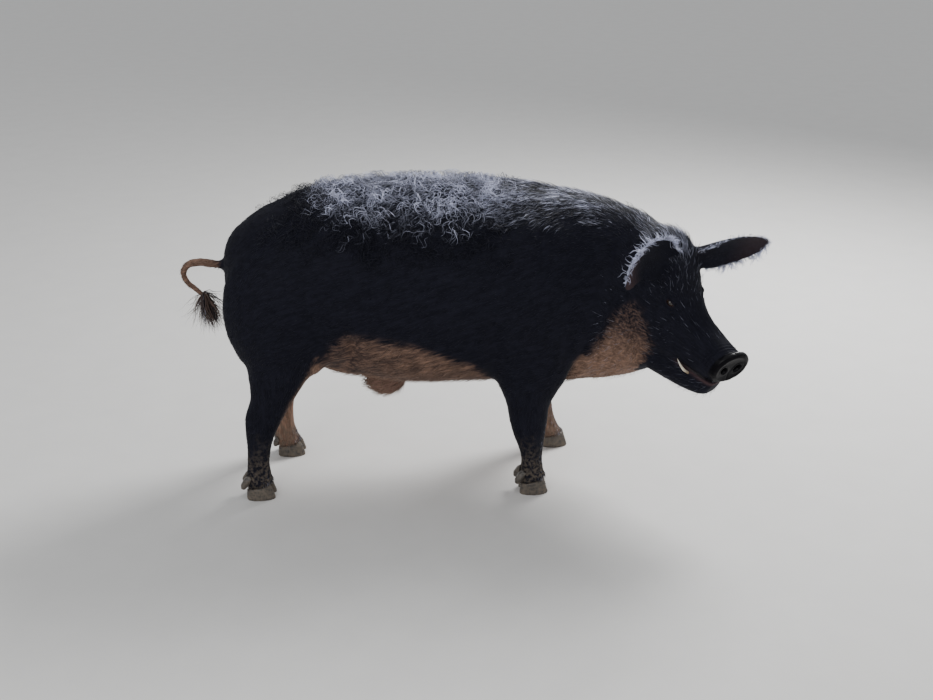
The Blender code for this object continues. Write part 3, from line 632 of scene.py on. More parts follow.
def lieField():
    trunk = surface.points - trunkOrigin
    lie = np.tile(lieWays["trunk"], (surface.count, 1))
    top = ramp(trunk[:, 2], *lieLimits["topHeight"])
    lie[:, 1] += 0.45 * np.sign(trunk[:, 1]) * ramp(np.abs(trunk[:, 1]), 0.0, 0.05) * top
    lie += toward("rumpTurn", ramp(-trunk[:, 0], *lieLimits["rumpStart"]))
    onNeck = ramp(trunk[:, 0], *lieLimits["neckStart"])[:, None]
    lie = (1.0 - onNeck) * lie + onNeck * (-headAhead * (0.9, 0.9, 0.3) + lieWays["neckDrop"])
    onHeadNow = labelled(labels, *headWords)
    lie[onHeadNow] = -headAhead
    cheek = ramp(-within(headAxes, surface.points)[:, 2], *lieLimits["cheekStart"])
    lie += toward("cheekDrop", cheek * onHeadNow)
    lie[labelled(labels, *limbWords)] = lieWays["legs"]
    for word in ("thigh", "scrotum"):
        lie[labelled(labels, word)] = lieWays[word]
    for name, root in earRoots():
        onEar = labelled(labels, name)
        lie[onEar] = unit(surface.points[onEar] - np.array(headAxes @ Vector(root)))
    onTail = labelled(labels, "tail_base")
    rise = trunk[onTail][:, 2] - tailMiddle[1]
    reach = trunk[onTail][:, 0] - tailMiddle[0]
    lie[onTail] = unit(np.stack((-rise, 0.0 * rise, reach), axis=1))
    lie = unit(lie)
    for _ in range(lieLimits["rounds"]):
        lie = alongSkin(surface.average(lie), skinNormals)
    return unit(lie)


skinLie = lieField()
report("lie of the coat")


# markings, with the painted sheen on the neck: the same numbers for the skin and the coat
# top of the sandy belly on each flank, in the trunk's frame: x, z
bellyLine = (
    (-0.60, 0.30), (-0.27, 0.36), (-0.205, 0.440), (-0.165, 0.488), (-0.090, 0.478), (0.000, 0.452),
    (0.075, 0.422), (0.156, 0.380), (0.205, 0.330), (0.235, 0.275), (0.260, 0.240), (0.60, 0.240),
)
# front edge of the dark of the hind legs, in the trunk's frame: z, x
thighEdge = ((0.0, -0.375), (0.20, -0.350), (0.28, -0.312), (0.36, -0.262), (0.44, -0.225))
# rear and front of the sandy cheek, in the head's frame: height, rear, front
cheekEdges = (
    (-0.240, 0.035, 0.170), (-0.160, 0.072, 0.168), (-0.120, 0.070, 0.166), (-0.070, 0.056, 0.156),
    (-0.030, 0.050, 0.130), (0.000, 0.060, 0.095), (0.030, 0.075, 0.075),
)
tanSettings = {  # how sandy each place is, 0 to 1
    # kept low: dark hairs mixed in, and painted shade under the belly
    "belly": 0.66,
    "bellyPatches": 0.16,
    "bellyRearFade": 0.42,
    "insideLeg": 0.85,
    "thighEdge": 0.9,
    "throat": 0.9,
    "tail": 0.75,
    "cheekTop": 0.20,
    "cheekBase": 0.84,
    "cheekPatches": 0.12,
    "legMiddles": (0.138, 0.122),  # fore and hind, from the middle plane
}
# grey of the curls on the back, and on the neck a painted sheen
greyAndSheenSettings = {
    "lowLine": 0.730,
    "softness": 0.085,
    "front": 0.66,
    "frontSoftness": 0.18,
    "rear": -0.30,
    "rearSoftness": 0.12,
    "ridge": 0.84,
    "neckFade": 0.55,
    "poll": (0.34, 0.30),  # everywhere on it, and more in patches
    "legFront": 0.35,
}


def ripple(points, size, seed):
    # smooth irregular numbers about zero, from a few crossed waves
    rng = np.random.default_rng(seed)
    total = np.zeros(len(points))
    for _ in range(6):
        way = rng.normal(size=3)
        way *= 2.0 * math.pi / size / np.linalg.norm(way)
        total += np.sin(points @ way + rng.uniform(0.0, 6.3)) * 0.4
    return total


def patchy(points, size, seed, low, high):
    # 0 to 1, in irregular patches
    return ramp(ripple(points, size, seed), low, high)


def sandyShare(points, ownLabels):
    trunk, place = points - trunkOrigin, within(headAxes, points)
    line = np.interp(trunk[:, 0], *zip(*bellyLine)) + 0.010 * ripple(points, 0.09, 3)
    under = ramp(line - trunk[:, 2], -0.016, 0.022)
    onTrunk = labelled(ownLabels, "belly", "chest", "rump", "sheath")
    # the belly's sand is lowered partly for dark hairs mixed in, partly as painted shade under the belly
    mottled = tanSettings["belly"] - tanSettings["bellyPatches"] * np.clip(ripple(points, 0.05, 4), -1, 1)
    tan = under * onTrunk * ramp(trunk[:, 0], -0.30, -0.20) * mottled
    tan *= 1.0 - tanSettings["bellyRearFade"] * ramp(-trunk[:, 0], -0.02, 0.18)
    inner = fall(np.abs(trunk[:, 1]), 0.085, 0.115) * fall(trunk[:, 2], 0.34, 0.40)
    tan = np.maximum(tan, inner * ramp(trunk[:, 0], -0.46, -0.40) * onTrunk)
    # legs: sandy inside and along the thigh's front edge, dark outside
    limb = labelled(ownLabels, "thigh", *limbWords)
    middle = np.where(trunk[:, 0] > 0.0, *tanSettings["legMiddles"])
    insideLeg = ramp(middle - np.abs(trunk[:, 1]), 0.004, 0.022)
    fromEdge = trunk[:, 0] - np.interp(trunk[:, 2], *zip(*thighEdge))
    foreEdge = labelled(ownLabels, "thigh", "shank") * ramp(fromEdge, -0.010, 0.006)
    onLimb = np.maximum(insideLeg * tanSettings["insideLeg"], foreEdge * tanSettings["thighEdge"])
    tan = np.maximum(tan, limb * onLimb)
    # cheek and throat
    heights, rears, fronts = (np.array(column) for column in zip(*cheekEdges))
    rear = np.interp(place[:, 2], heights, rears) + 0.004 * ripple(points, 0.04, 5)
    front = np.interp(place[:, 2], heights, fronts) + 0.008 * ripple(points, 0.03, 6)
    cheek = ramp(place[:, 0] - rear, -0.004, 0.012) * ramp(front - place[:, 0], -0.020, 0.022)
    throat = fall(trunk[:, 2], 0.345, 0.385) * ramp(trunk[:, 0], 0.40, 0.50)
    headNow = labelled(ownLabels, "head", "neck", "chest") & (trunk[:, 0] > 0.42)
    cheek *= ramp(-place[:, 2], -0.030, 0.010) * headNow
    topShare = tanSettings["cheekTop"]
    cheek *= topShare + (1.0 - topShare) * ramp(-place[:, 2], 0.02, 0.15)
    streaks = np.clip(ripple(place * (0.25, 1.0, 1.0), 0.018, 7), -1.0, 1.0)
    cheek *= tanSettings["cheekBase"] + tanSettings["cheekPatches"] * streaks
    tan = np.maximum(tan, np.maximum(cheek, throat * headNow * tanSettings["throat"]))
    return np.maximum(tan, labelled(ownLabels, "tail_base") * tanSettings["tail"])


def greyAndSheenShare(points, normals, ownLabels):
    trunk, place = points - trunkOrigin, within(headAxes, points)
    lowLine = greyAndSheenSettings["lowLine"] + 0.012 * ripple(points, 0.10, 8)
    silver = ramp(trunk[:, 2] - lowLine, -0.02, greyAndSheenSettings["softness"])
    # on the neck the grey is painted sheen: weaker, in patches along the top
    neckward = ramp(trunk[:, 0], 0.20, 0.32)
    silver *= 1.0 - neckward * (greyAndSheenSettings["neckFade"] - 0.50 * patchy(points, 0.07, 9, -0.3, 0.6))
    rearLine = greyAndSheenSettings["rear"] + 0.7 * (greyAndSheenSettings["ridge"] - trunk[:, 2])
    silver *= ramp(trunk[:, 0] - rearLine, 0.0, greyAndSheenSettings["rearSoftness"])
    front = greyAndSheenSettings["front"]
    silver *= ramp(-trunk[:, 0], -front, -front + greyAndSheenSettings["frontSoftness"])
    silver *= labelled(ownLabels, "belly", "chest", "rump", "neck", "head")
    poll = ramp(place[:, 2], 0.125, 0.150) * labelled(ownLabels, "head", "neck")
    poll = poll * ramp(trunk[:, 0], 0.44, 0.52)
    everywhere, inPatches = greyAndSheenSettings["poll"]
    silver = np.maximum(silver, (everywhere + inPatches * patchy(points, 0.05, 10, -0.2, 0.6)) * poll)
    legFront = labelled(ownLabels, "cannon", "forearm", "pastern") * ramp(normals[:, 0], 0.1, 0.7)
    return np.maximum(silver, greyAndSheenSettings["legFront"] * legFront * fall(trunk[:, 2], 0.17, 0.25))


tanShare = surface.blur(sandyShare(surface.points, labels), 2)
silverAndSheenShare = surface.blur(greyAndSheenShare(surface.points, skinNormals, labels), 2)
report("markings")


# an unwrap of the skin's own shape, for the coat's OFBake maps
unwrapBoxes = {  # lowest u and v, width and height of each region's own field
    "trunk": (0.01, 0.01, 0.60, 0.58),
    "head": (0.63, 0.01, 0.34, 0.58),
    "fore_right": (0.01, 0.61, 0.22, 0.18),
    "fore_left": (0.25, 0.61, 0.22, 0.18),
    "hind_right": (0.49, 0.61, 0.22, 0.18),
    "hind_left": (0.73, 0.61, 0.22, 0.18),
    "ear_left": (0.01, 0.81, 0.30, 0.17),
    "ear_right": (0.33, 0.81, 0.30, 0.17),
    "tail": (0.65, 0.81, 0.30, 0.17),
}


def intoBox(name, across, along):
    left, bottom, width, height = unwrapBoxes[name]
    across, along = np.clip(across, 0, 1), np.clip(along, 0, 1)
    return np.stack((left + width * across, bottom + height * along), axis=1)


def turnShare(first, second):
    return np.arctan2(first, second) / (2.0 * math.pi) + 0.5


def unwrap(points, ownLabels):
    trunk, place = points - trunkOrigin, within(headAxes, points)
    found = intoBox("trunk", (trunk[:, 0] + 0.50) / 1.20, turnShare(trunk[:, 1], 0.56 - trunk[:, 2]))
    onHeadNow = labelled(ownLabels, *headWords)
    byHead = intoBox("head", (place[:, 0] + 0.12) / 0.50, turnShare(place[:, 1], place[:, 2] + 0.01))
    found[onHeadNow] = byHead[onHeadNow]
    for name in legNames:
        here = labelled(ownLabels, name)
        rel = points[here] - midBox(name + "_hoof_left", name + "_hoof_right")
        around = turnShare(rel[:, 1], rel[:, 0] - 0.15 * rel[:, 2])
        found[here] = intoBox(name, around, points[here][:, 2] / 0.42)
    for name, root in earRoots():
        here = labelled(ownLabels, name)
        rel = points[here] - np.array(headAxes @ Vector(root))
        around = turnShare(rel @ headUp, rel @ headAhead)
        found[here] = intoBox(name, around, np.linalg.norm(rel, axis=1) / 0.24)
    here = labelled(ownLabels, "tail_base")
    around = turnShare(trunk[here][:, 2] - tailMiddle[1], trunk[here][:, 0] - tailMiddle[0])
    found[here] = intoBox("tail", around, (trunk[here][:, 1] + 0.03) / 0.08)
    return found


# finishes: one node tree or group per material or effect
class Graph:
    # a node tree with short calls for the nodes used here
    def __init__(self, tree):
        self.tree = tree

    def put(self, socket, value):
        if isinstance(value, bpy.types.NodeSocket):
            self.tree.links.new(value, socket)
        else:
            socket.default_value = value

    def add(self, kind, inputs=None, **settings):
        node = self.tree.nodes.new(kind)
        for key, value in settings.items():
            setattr(node, key, value)
        for key, value in (inputs or {}).items():
            self.put(node.inputs[key], value)
        return node

    def mix(self, share, first, second, blend="MIX"):
        # of colours; blend is for plain values
        inputs = {0: share, 6: first, 7: second}
        return self.add("ShaderNodeMix", inputs, data_type="RGBA", blend_type=blend).outputs[2]

    def blend(self, share, first, second, **settings):
        return self.add("ShaderNodeMix", {0: share, 2: first, 3: second}, **settings).outputs[0]

    def maths(self, operation, *values):
        return self.add("ShaderNodeMath", dict(enumerate(values)), operation=operation).outputs[0]

    def spread(self, value, low, high, start=0.0, end=1.0):
        inputs = {0: value, 1: low, 2: high, 3: start, 4: end}
        return self.add("ShaderNodeMapRange", inputs, interpolation_type="SMOOTHSTEP").outputs[0]

    def noise(self, place, scale, detail=3.0):
        inputs = {"Vector": place, "Scale": scale, "Detail": detail}
        return self.add("ShaderNodeTexNoise", inputs).outputs[0]

    def turned(self, place, turns):
        return self.add("ShaderNodeMapping", {"Vector": place, "Rotation": turns}).outputs[0]

    def stretched(self, place, scales):
        return self.add("ShaderNodeMapping", {"Vector": place, "Scale": scales}).outputs[0]

    def share(self, name):
        return self.add("ShaderNodeAttribute", attribute_name=name).outputs["Fac"]

    def place(self):
        return self.add("ShaderNodeTexCoord").outputs["Object"]

    def group(self, tree, inputs):
        node = self.add("ShaderNodeGroup")
        node.node_tree = tree
        for key, value in inputs.items():
            self.put(node.inputs[key], value)
        return node.outputs

    def bump(self, height, distance, strength):
        inputs = {"Height": height, "Distance": distance, "Strength": strength}
        return self.add("ShaderNodeBump", inputs).outputs[0]


def newGroup(name, inputs, outputs):
    tree = bpy.data.node_groups.new(name, "ShaderNodeTree")
    for direction, sockets in (("INPUT", inputs), ("OUTPUT", outputs)):
        for label, kind in sockets.items():
            tree.interface.new_socket(label, in_out=direction, socket_type=f"NodeSocket{kind}")
    graph = Graph(tree)
    return tree, graph, graph.add("NodeGroupInput").outputs, graph.add("NodeGroupOutput").inputs


def coatTintGroup():
    # colour of hair and of the skin below it, from the markings and the painted sheen on the neck
    shares = dict.fromkeys(("Tan", "Silver", "Tone", "Tip"), "Float")
    colours = dict.fromkeys(("Dark", "Sandy", "Pale"), "Color")
    tree, graph, given, out = newGroup("coatTint", {**shares, **colours}, {"Colour": "Color"})
    colour = graph.mix(given["Tan"], given["Dark"], given["Sandy"])
    paleness = graph.maths("MULTIPLY", given["Silver"], graph.spread(given["Tip"], 0.0, 0.5, 0.35, 1.0))
    colour = graph.mix(paleness, colour, given["Pale"])
    level = graph.maths("MULTIPLY_ADD", given["Tone"], 0.38, 1.0)
    bright = graph.add("ShaderNodeCombineColor", {0: level, 1: level, 2: level}).outputs[0]
    graph.put(out["Colour"], graph.mix(1.0, colour, bright, "MULTIPLY"))
    return tree


def combedHairGroup():
    # fine streaks that run along one axis: x of the vector given
    tree, graph, given, out = newGroup(
        "combedHair", {"Vector": "Vector", "Fineness": "Float"}, {"Height": "Float", "Streaks": "Float"}
    )
    stretched = graph.stretched(given["Vector"], (0.11, 1.0, 1.0))
    fine = graph.noise(stretched, given["Fineness"], 2.0)
    broad = graph.noise(stretched, graph.maths("MULTIPLY", given["Fineness"], 0.32), 2.0)
    height = graph.maths("MULTIPLY_ADD", broad, 0.6, graph.maths("MULTIPLY", fine, 0.4))
    graph.put(out["Height"], height)
    graph.put(out["Streaks"], graph.spread(height, 0.42, 0.62))
    return tree


def driedMudGroup():
    # dust and dried mud, thicker towards the floor
    tree, graph, given, out = newGroup(
        "driedMud", {"Colour": "Color", "Place": "Vector", "Top": "Float", "Amount": "Float"},
        {"Colour": "Color", "Mask": "Float"},
    )
    height = graph.add("ShaderNodeSeparateXYZ", {0: given["Place"]}).outputs[2]
    rough = graph.noise(given["Place"], 38.0, 4.0)
    ragged = graph.maths("MULTIPLY_ADD", rough, 0.16, -0.08)
    share = graph.maths("DIVIDE", graph.maths("ADD", height, ragged), given["Top"])
    low = graph.maths("SUBTRACT", 1.0, graph.spread(share, 0.0, 1.0))
    patches = graph.spread(graph.noise(given["Place"], 120.0, 4.0), 0.38, 0.62)
    mask = graph.maths("MULTIPLY", graph.maths("MULTIPLY", low, patches), given["Amount"])
    graph.put(out["Colour"], graph.mix(mask, given["Colour"], (0.165, 0.135, 0.105, 1.0)))
    graph.put(out["Mask"], mask)
    return tree


coatTint, combedHair, driedMud = coatTintGroup(), combedHairGroup(), driedMudGroup()


def newMaterial(name, roughness, **sockets):
    # a material's shader with its uniform values, and its graph
    made = bpy.data.materials.new(name)
    made.use_nodes = True
    shader = made.node_tree.nodes["Principled BSDF"]
    shader.inputs["Roughness"].default_value = roughness
    for key, value in sockets.items():
        shader.inputs[key.replace("_", " ")].default_value = value
    return made, Graph(made.node_tree), shader.inputs


coatColours = {
    "dark": (0.0110, 0.0115, 0.0200, 1.0),
    "sandy": (0.270, 0.175, 0.130, 1.0),
    # pale grey hair; on the neck the same colour is painted sheen
    "pale": (0.740, 0.770, 0.980, 1.0),
    "darkSkin": (0.0104, 0.0106, 0.0168, 1.0),
    "sandySkin": (0.230, 0.140, 0.100, 1.0),
    "paleSkin": (0.022, 0.024, 0.032, 1.0),
    "bareSkin": (0.200, 0.112, 0.108, 1.0),
    "bareSkinDeep": (0.130, 0.070, 0.068, 1.0),
    "snout": (0.0035, 0.0032, 0.0045, 1.0),
}
skinFinish = {
    "streakWays": {  # turns that lay the streaks along each part of the body, and their fineness
        "trunk": ((0.0, 0.29, 0.0), 420.0),
        "leg": ((0.0, math.pi / 2.0, 0.0), 560.0),
    },
    "headFineness": 620.0,
    "mudTop": 0.20,  # height above the floor
    "mudOnHair": 0.55,
    "mudOnSkin": 0.7,
    "wetRoughness": 0.36,
    "wetCoat": 0.34,
    "pores": 620.0,
    "bump": 0.0011,
}


def makeHairMaterial():
    made, graph, shader = newMaterial("coat_hair", 0.46, Specular_IOR_Level=0.22)
    shares = {name.capitalize(): graph.share(name) for name in ("tan", "silver", "tone", "tip")}
    colours = {name.capitalize(): coatColours[name] for name in ("dark", "sandy", "pale")}
    colour = graph.group(coatTint, {**shares, **colours})["Colour"]
    mud = graph.group(driedMud, {
        "Colour": colour,
        "Place": graph.place(),
        "Top": skinFinish["mudTop"],
        "Amount": skinFinish["mudOnHair"],
    })
    graph.put(shader["Base Color"], mud["Colour"])
    graph.put(shader["Roughness"], graph.spread(mud["Mask"], 0.0, 0.6, 0.46, 0.85))
    return made


def headTurns():
    # turns the place so that its x runs along the head
    turn = headAxes.to_3x3().inverted().to_euler("XYZ")
    return (turn.x, turn.y, turn.z)


def makeSkinMaterial():
    made, graph, shader = newMaterial("coated_skin", 0.60, Specular_IOR_Level=0.04, Coat_Roughness=0.14)
    place = graph.place()
    ways = {"head": (headTurns(), skinFinish["headFineness"]), **skinFinish["streakWays"]}
    combed = {}
    for part, (turns, fineness) in ways.items():
        turned = graph.turned(place, turns)
        combed[part] = graph.group(combedHair, {"Vector": turned, "Fineness": fineness})
    found = {}
    for key in ("Height", "Streaks"):
        mixed = graph.blend(graph.share("onHead"), combed["trunk"][key], combed["head"][key])
        found[key] = graph.blend(graph.share("onLeg"), mixed, combed["leg"][key])
    blotches = graph.spread(graph.noise(place, 55.0, 4.0), 0.35, 0.65)
    blotches = graph.maths("MULTIPLY_ADD", blotches, 0.5, -0.7)
    tone = graph.maths("MULTIPLY_ADD", found["Streaks"], 0.9, blotches)
    # dark hairs run down over the sandy cheek
    tan = graph.share("tan")
    edge = graph.maths("MULTIPLY", tan, graph.maths("SUBTRACT", 1.0, tan))
    dashes = graph.maths("MULTIPLY_ADD", graph.maths("SUBTRACT", found["Streaks"], 0.5), 0.34, tan)
    tan = graph.blend(graph.spread(edge, 0.0, 0.15), tan, dashes, clamp_factor=True)
    colour = graph.group(coatTint, {
        "Tan": graph.add("ShaderNodeClamp", {0: tan}).outputs[0],
        "Silver": graph.share("silver"),
        "Tone": tone,
        "Tip": 1.0,
        "Dark": coatColours["darkSkin"],
        "Sandy": coatColours["sandySkin"],
        "Pale": coatColours["paleSkin"],
    })["Colour"]
    # bare skin, wet skin and mud over it
    rough = graph.noise(place, 240.0, 4.0)
    bareShade = graph.mix(rough, coatColours["bareSkin"], coatColours["bareSkinDeep"])
    colour = graph.mix(graph.share("bare"), colour, bareShade)
    wet = graph.share("wet")
    colour = graph.mix(wet, colour, coatColours["snout"])
    mud = graph.group(driedMud, {
        "Colour": colour, "Place": place, "Top": skinFinish["mudTop"], "Amount": skinFinish["mudOnSkin"],
    })
    graph.put(shader["Base Color"], mud["Colour"])
    dry = graph.spread(mud["Mask"], 0.0, 0.6, 0.60, 0.88)
    graph.put(shader["Roughness"], graph.blend(wet, dry, skinFinish["wetRoughness"]))
    graph.put(shader["Coat Weight"], graph.maths("MULTIPLY", graph.share("shine"), skinFinish["wetCoat"]))
    pores = graph.add("ShaderNodeTexVoronoi", {"Vector": place, "Scale": skinFinish["pores"]}).outputs[0]
    creases = graph.maths("MULTIPLY", graph.noise(place, 200.0, 2.0), 0.45)
    leather = graph.maths("MULTIPLY_ADD", pores, 0.10, creases)
    height = graph.blend(graph.share("disc"), found["Height"], leather)
    graph.put(shader["Normal"], graph.bump(height, skinFinish["bump"], 0.7))
    return made


hairMaterial = makeHairMaterial()


shareSettings = {
    "discHalf": (0.056, 0.052),
    "mouthLine": 0.0040,
    "mouthStart": (0.215, 0.245),
    "lowerLip": (-0.0080, 0.0050),
    "lowerLipBare": 0.34,
    "scrotumBare": 0.75,
    "sheathBare": 0.45,
    "earTipBare": {"ear_left": 0.10, "ear_right": 0.26},
    "lidBare": 0.08,
}


def nearLids(points):
    # 1 on the rims of both eyes
    total = np.zeros(len(points))
    for side in (1, -1):
        byEye = within(eyeAxes(side), points)
        halfLong, halfHigh = eyeSettings["openingHalf"]
        ring = bell(np.hypot(byEye[:, 0] / halfLong, byEye[:, 1] / halfHigh), 1.0, 0.22)
        total += ring * (np.abs(byEye[:, 2]) < 0.03)
    return total


def skinShares():
    place = within(headAxes, surface.points)
    byDisc = within(discAxes, surface.points)
    halfAcross, halfUp = shareSettings["discHalf"]
    onDisc = fall(np.hypot(byDisc[:, 1] / halfAcross, byDisc[:, 2] / halfUp), 0.96, 1.10)
    onDisc *= ramp(byDisc[:, 0], -0.012, -0.004)
    gap = place[:, 2] - mouthHeight(place[:, 0])
    atFront = ramp(place[:, 0], *shareSettings["mouthStart"])
    atFront = atFront * aheadOf(surface.points, headSettings["mouthRear"])
    inGroove = bell(gap, 0.0, shareSettings["mouthLine"])
    mouth = np.maximum(inGroove, labelled(labels, "jaw") * ramp(gap, -0.004, 0.0)) * atFront
    bare = bell(gap, *shareSettings["lowerLip"]) * atFront * shareSettings["lowerLipBare"]
    for word in ("scrotum", "sheath"):
        bare = bare + labelled(labels, word) * shareSettings[word + "Bare"]
    earTips = np.zeros(surface.count)
    for name, root in earRoots():
        reach = np.linalg.norm(place - root, axis=1)
        inside = labelled(labels, name) * ramp(skinNormals @ headAhead, 0.0, 0.6)
        earTips += inside * ramp(reach, 0.09, 0.17) * shareSettings["earTipBare"][name]
    bare = np.clip(bare + earTips + shareSettings["lidBare"] * nearLids(surface.points), 0.0, 1.0)
    onLeg = labelled(labels, "thigh", "scrotum", *limbWords).astype(float)
    headNow = labelled(labels, "head", "muzzle", "jaw", "disc", "ear_").astype(float)
    wet = np.maximum(onDisc, surface.blur(mouth, 3))
    return {
        "bare": surface.blur(bare, 2),
        "onLeg": surface.blur(onLeg, 6),
        "onHead": surface.blur(headNow, 6),
        "disc": onDisc,
        "wet": wet,
        "shine": wet * (0.06 + 0.94 * ramp(skinNormals[:, 2], 0.15, 0.75)),
        "tan": tanShare,
        "silver": silverAndSheenShare,
    }


def finishSkin():
    setShares(skin.data, skinShares())
    skin.data.materials.clear()
    handIn(skin, makeSkinMaterial(), "dark_coat", *fleshNames)


finishSkin()
skinTree = BVHTree.FromObject(skin, bpy.context.evaluated_depsgraph_get())
report("skin finished")


# growing tufts: solid, tapered locks of hair with an OFBake map each
class Roots:
    # places where tufts grow, with all that the skin knows there
    fields = ("points", "normals", "lies", "tan", "silver", "labels", "extra")

    def __init__(self, rng, points, normals, lies, tan, silver, ownLabels, extra):
        self.rng, self.extra = rng, extra
        self.points, self.normals, self.labels = points, unit(normals), ownLabels
        self.lies = unit(alongSkin(lies, self.normals))
        self.tan, self.silver = tan, silver

    def keep(self, wanted):
        for name in self.fields:
            setattr(self, name, getattr(self, name)[wanted])
        return self


def rootsOn(chosen, spacing, seed, lie=None, extra=None):
    # evenly spread over the chosen triangles of the skin, with one more share if a plan needs it
    rng = np.random.default_rng(seed)
    corners = surface.corners[chosen[surface.corners].mean(axis=1) > 0.5]
    a, b, c = (surface.points[corners[:, k]] for k in range(3))
    areas = 0.5 * np.linalg.norm(np.cross(b - a, c - a), axis=1)
    tries = int(5.0 * areas.sum() / spacing**2)
    picked = corners[rng.choice(len(corners), size=tries, p=areas / areas.sum())]
    outward, along = np.sqrt(rng.random(tries)), rng.random(tries)
    weights = np.stack((1.0 - outward, outward * (1.0 - along), outward * along), axis=1)
    where = (surface.points[picked] * weights[:, :, None]).sum(axis=1)
    cells = np.floor(where / (spacing * 1.22)).astype(np.int64) @ np.array((73856093, 19349663, 83492791))
    _, first = np.unique(cells, return_index=True)
    picked, weights = picked[first], weights[first]

    def atRoots(values):
        return (values[picked] * weights[:, :, None]).sum(axis=1)

    def shareAtRoots(values):
        return atRoots(values[:, None])[:, 0]

    return Roots(
        rng,
        where[first],
        atRoots(skinNormals),
        atRoots(skinLie if lie is None else lie),
        shareAtRoots(tanShare),
        shareAtRoots(silverAndSheenShare),
        labels[picked[:, 0]],
        shareAtRoots(tanShare if extra is None else extra),
    )


def liftClear(points, least):
    # raises each point of the tufts to at least this far above the skin
    for index, point in enumerate(points):
        place, normal, _, _ = skinTree.find_nearest(point)
        height = (Vector(point) - place).dot(normal)
        if height < least[index]:
            points[index] = np.array(place + normal * least[index])
    return points


def lockNumbers(roots, plan):
    # which lock each tuft belongs to: the nearest of a few roots
    count = len(roots.points)
    wanted = max(1, int(count / plan.get("perLock", 1)))
    if wanted == count:
        return np.arange(count)
    middles = roots.points[roots.rng.choice(count, size=wanted, replace=False)]
    tree = KDTree(wanted)
    for index, middle in enumerate(middles):
        tree.insert(middle, index)
    tree.balance()
    return np.array([tree.find(point)[1] for point in roots.points])


rootDepth = 0.0008  # of each tuft below the skin


def tuftPaths(roots, plan, locks):
    # middle line of every tuft: it leaves the skin, curls round its own way and bends back along the body
    rng, steps = roots.rng, plan["steps"]
    count = len(roots.points)

    def shared(values, own):
        # the tufts of one lock lie and curl alike
        return values[locks] + own * rng.normal(size=count)

    def each(key, spread=0.0):
        values = np.broadcast_to(np.asarray(plan.get(key, 0.0), dtype=float), (count,))
        values = values * (1.0 + spread * (2.0 * rng.random(count)[locks] - 1.0))
        return values * rng.uniform(0.9, 1.1, count)

    swing = shared(rng.normal(size=count), 0.25) * each("swing")
    across = np.cross(roots.normals, roots.lies)
    way = unit(roots.lies * np.cos(swing)[:, None] + across * np.sin(swing)[:, None])
    across = np.cross(roots.normals, way)
    length, lift, droop = each("length", 0.25), each("lift", 0.35), each("droop", 0.3)
    turns, wide = each("turns", 0.25), each("wide", 0.35)
    phase = shared(rng.uniform(0.0, 2.0 * math.pi, count), 0.5)
    handed = np.where(rng.random(count)[locks] < 0.5, -1.0, 1.0)
    path = np.empty((count, steps + 1, 3))
    for j, t in enumerate(np.linspace(0.0, 1.0, steps + 1)):
        rise = 1.6 * lift * length * (t - 0.62 * t * t)
        reach = wide * min(1.0, 2.5 * t)
        angle = phase + handed * turns * 2.0 * math.pi * t
        upward = np.maximum(0.8 * reach * (np.cos(angle) - np.cos(phase)), -0.7 * rise)
        path[:, j] = roots.points + way * (length * t)[:, None]
        path[:, j] += roots.normals * (rise + upward - rootDepth)[:, None]
        path[:, j] += across * (reach * (np.sin(angle) - np.sin(phase)))[:, None]
        path[:, j, 2] -= droop * length * t * t
    if "hug" in plan:
        least = np.tile(np.linspace(0.0006, plan["hug"], steps), count)
        path[:, 1:] = liftClear(path[:, 1:].reshape(-1, 3), least).reshape(count, steps, 3)
    return path


def tuftTriangles(sides, steps):
    triangles = [(0, 2, 1)]
    for j in range(steps - 1):
        for k in range(sides):
            here, there = j * sides + k, j * sides + (k + 1) % sides
            triangles += [(here, there, there + sides), (here, there + sides, here + sides)]
    last = (steps - 1) * sides
    tip = [(last + k, last + (k + 1) % sides, last + sides) for k in range(sides)]
    return np.array(triangles + tip)


def triangleMesh(name, points, faces):
    mesh = bpy.data.meshes.new(name)
    mesh.vertices.add(len(points))
    mesh.vertices.foreach_set("co", points.astype(np.float32).ravel())
    mesh.loops.add(faces.size)
    mesh.loops.foreach_set("vertex_index", faces.astype(np.int32).ravel())
    mesh.polygons.add(len(faces))
    mesh.polygons.foreach_set("loop_start", np.arange(0, faces.size, 3, dtype=np.int32))
    mesh.update(calc_edges=True)
    return mesh


coatSides = 3  # a tuft's cross-section
patchSize = 0.003  # of each tuft on the OFBake map
coatShades = {
    "tanSpread": 0.12,
    "darkest": 0.12,
    "brightest": 1.40,
    "ownSilver": (0.6, 1.2),
    "grizzle": (0.05, 0.35),
    "toneSpread": 0.4,
}
coatCount = {}


def tuftRings(roots, plan, path, halfWidth):
    # the points of every tuft, ring by ring, and the tip
    steps = plan["steps"]
    rings = []
    for j, t in enumerate(np.linspace(0.0, 1.0, steps + 1)[:-1]):
        forward = unit(path[:, min(j + 1, steps)] - path[:, max(j - 1, 0)])
        flatWay = unit(np.cross(roots.normals, forward))
        thinWay = np.cross(forward, flatWay)
        width = halfWidth * (1.0 - t) ** 0.55 * (0.75 + 0.55 * math.sin(math.pi * min(t + 0.15, 1.0)))
        for k in range(coatSides):
            angle = 2.0 * math.pi * k / coatSides + math.pi / 2.0
            offset = flatWay * math.cos(angle) + thinWay * (math.sin(angle) * plan.get("flat", 0.5))
            rings.append(path[:, j] + offset * width[:, None])
    return rings + [path[:, -1]]


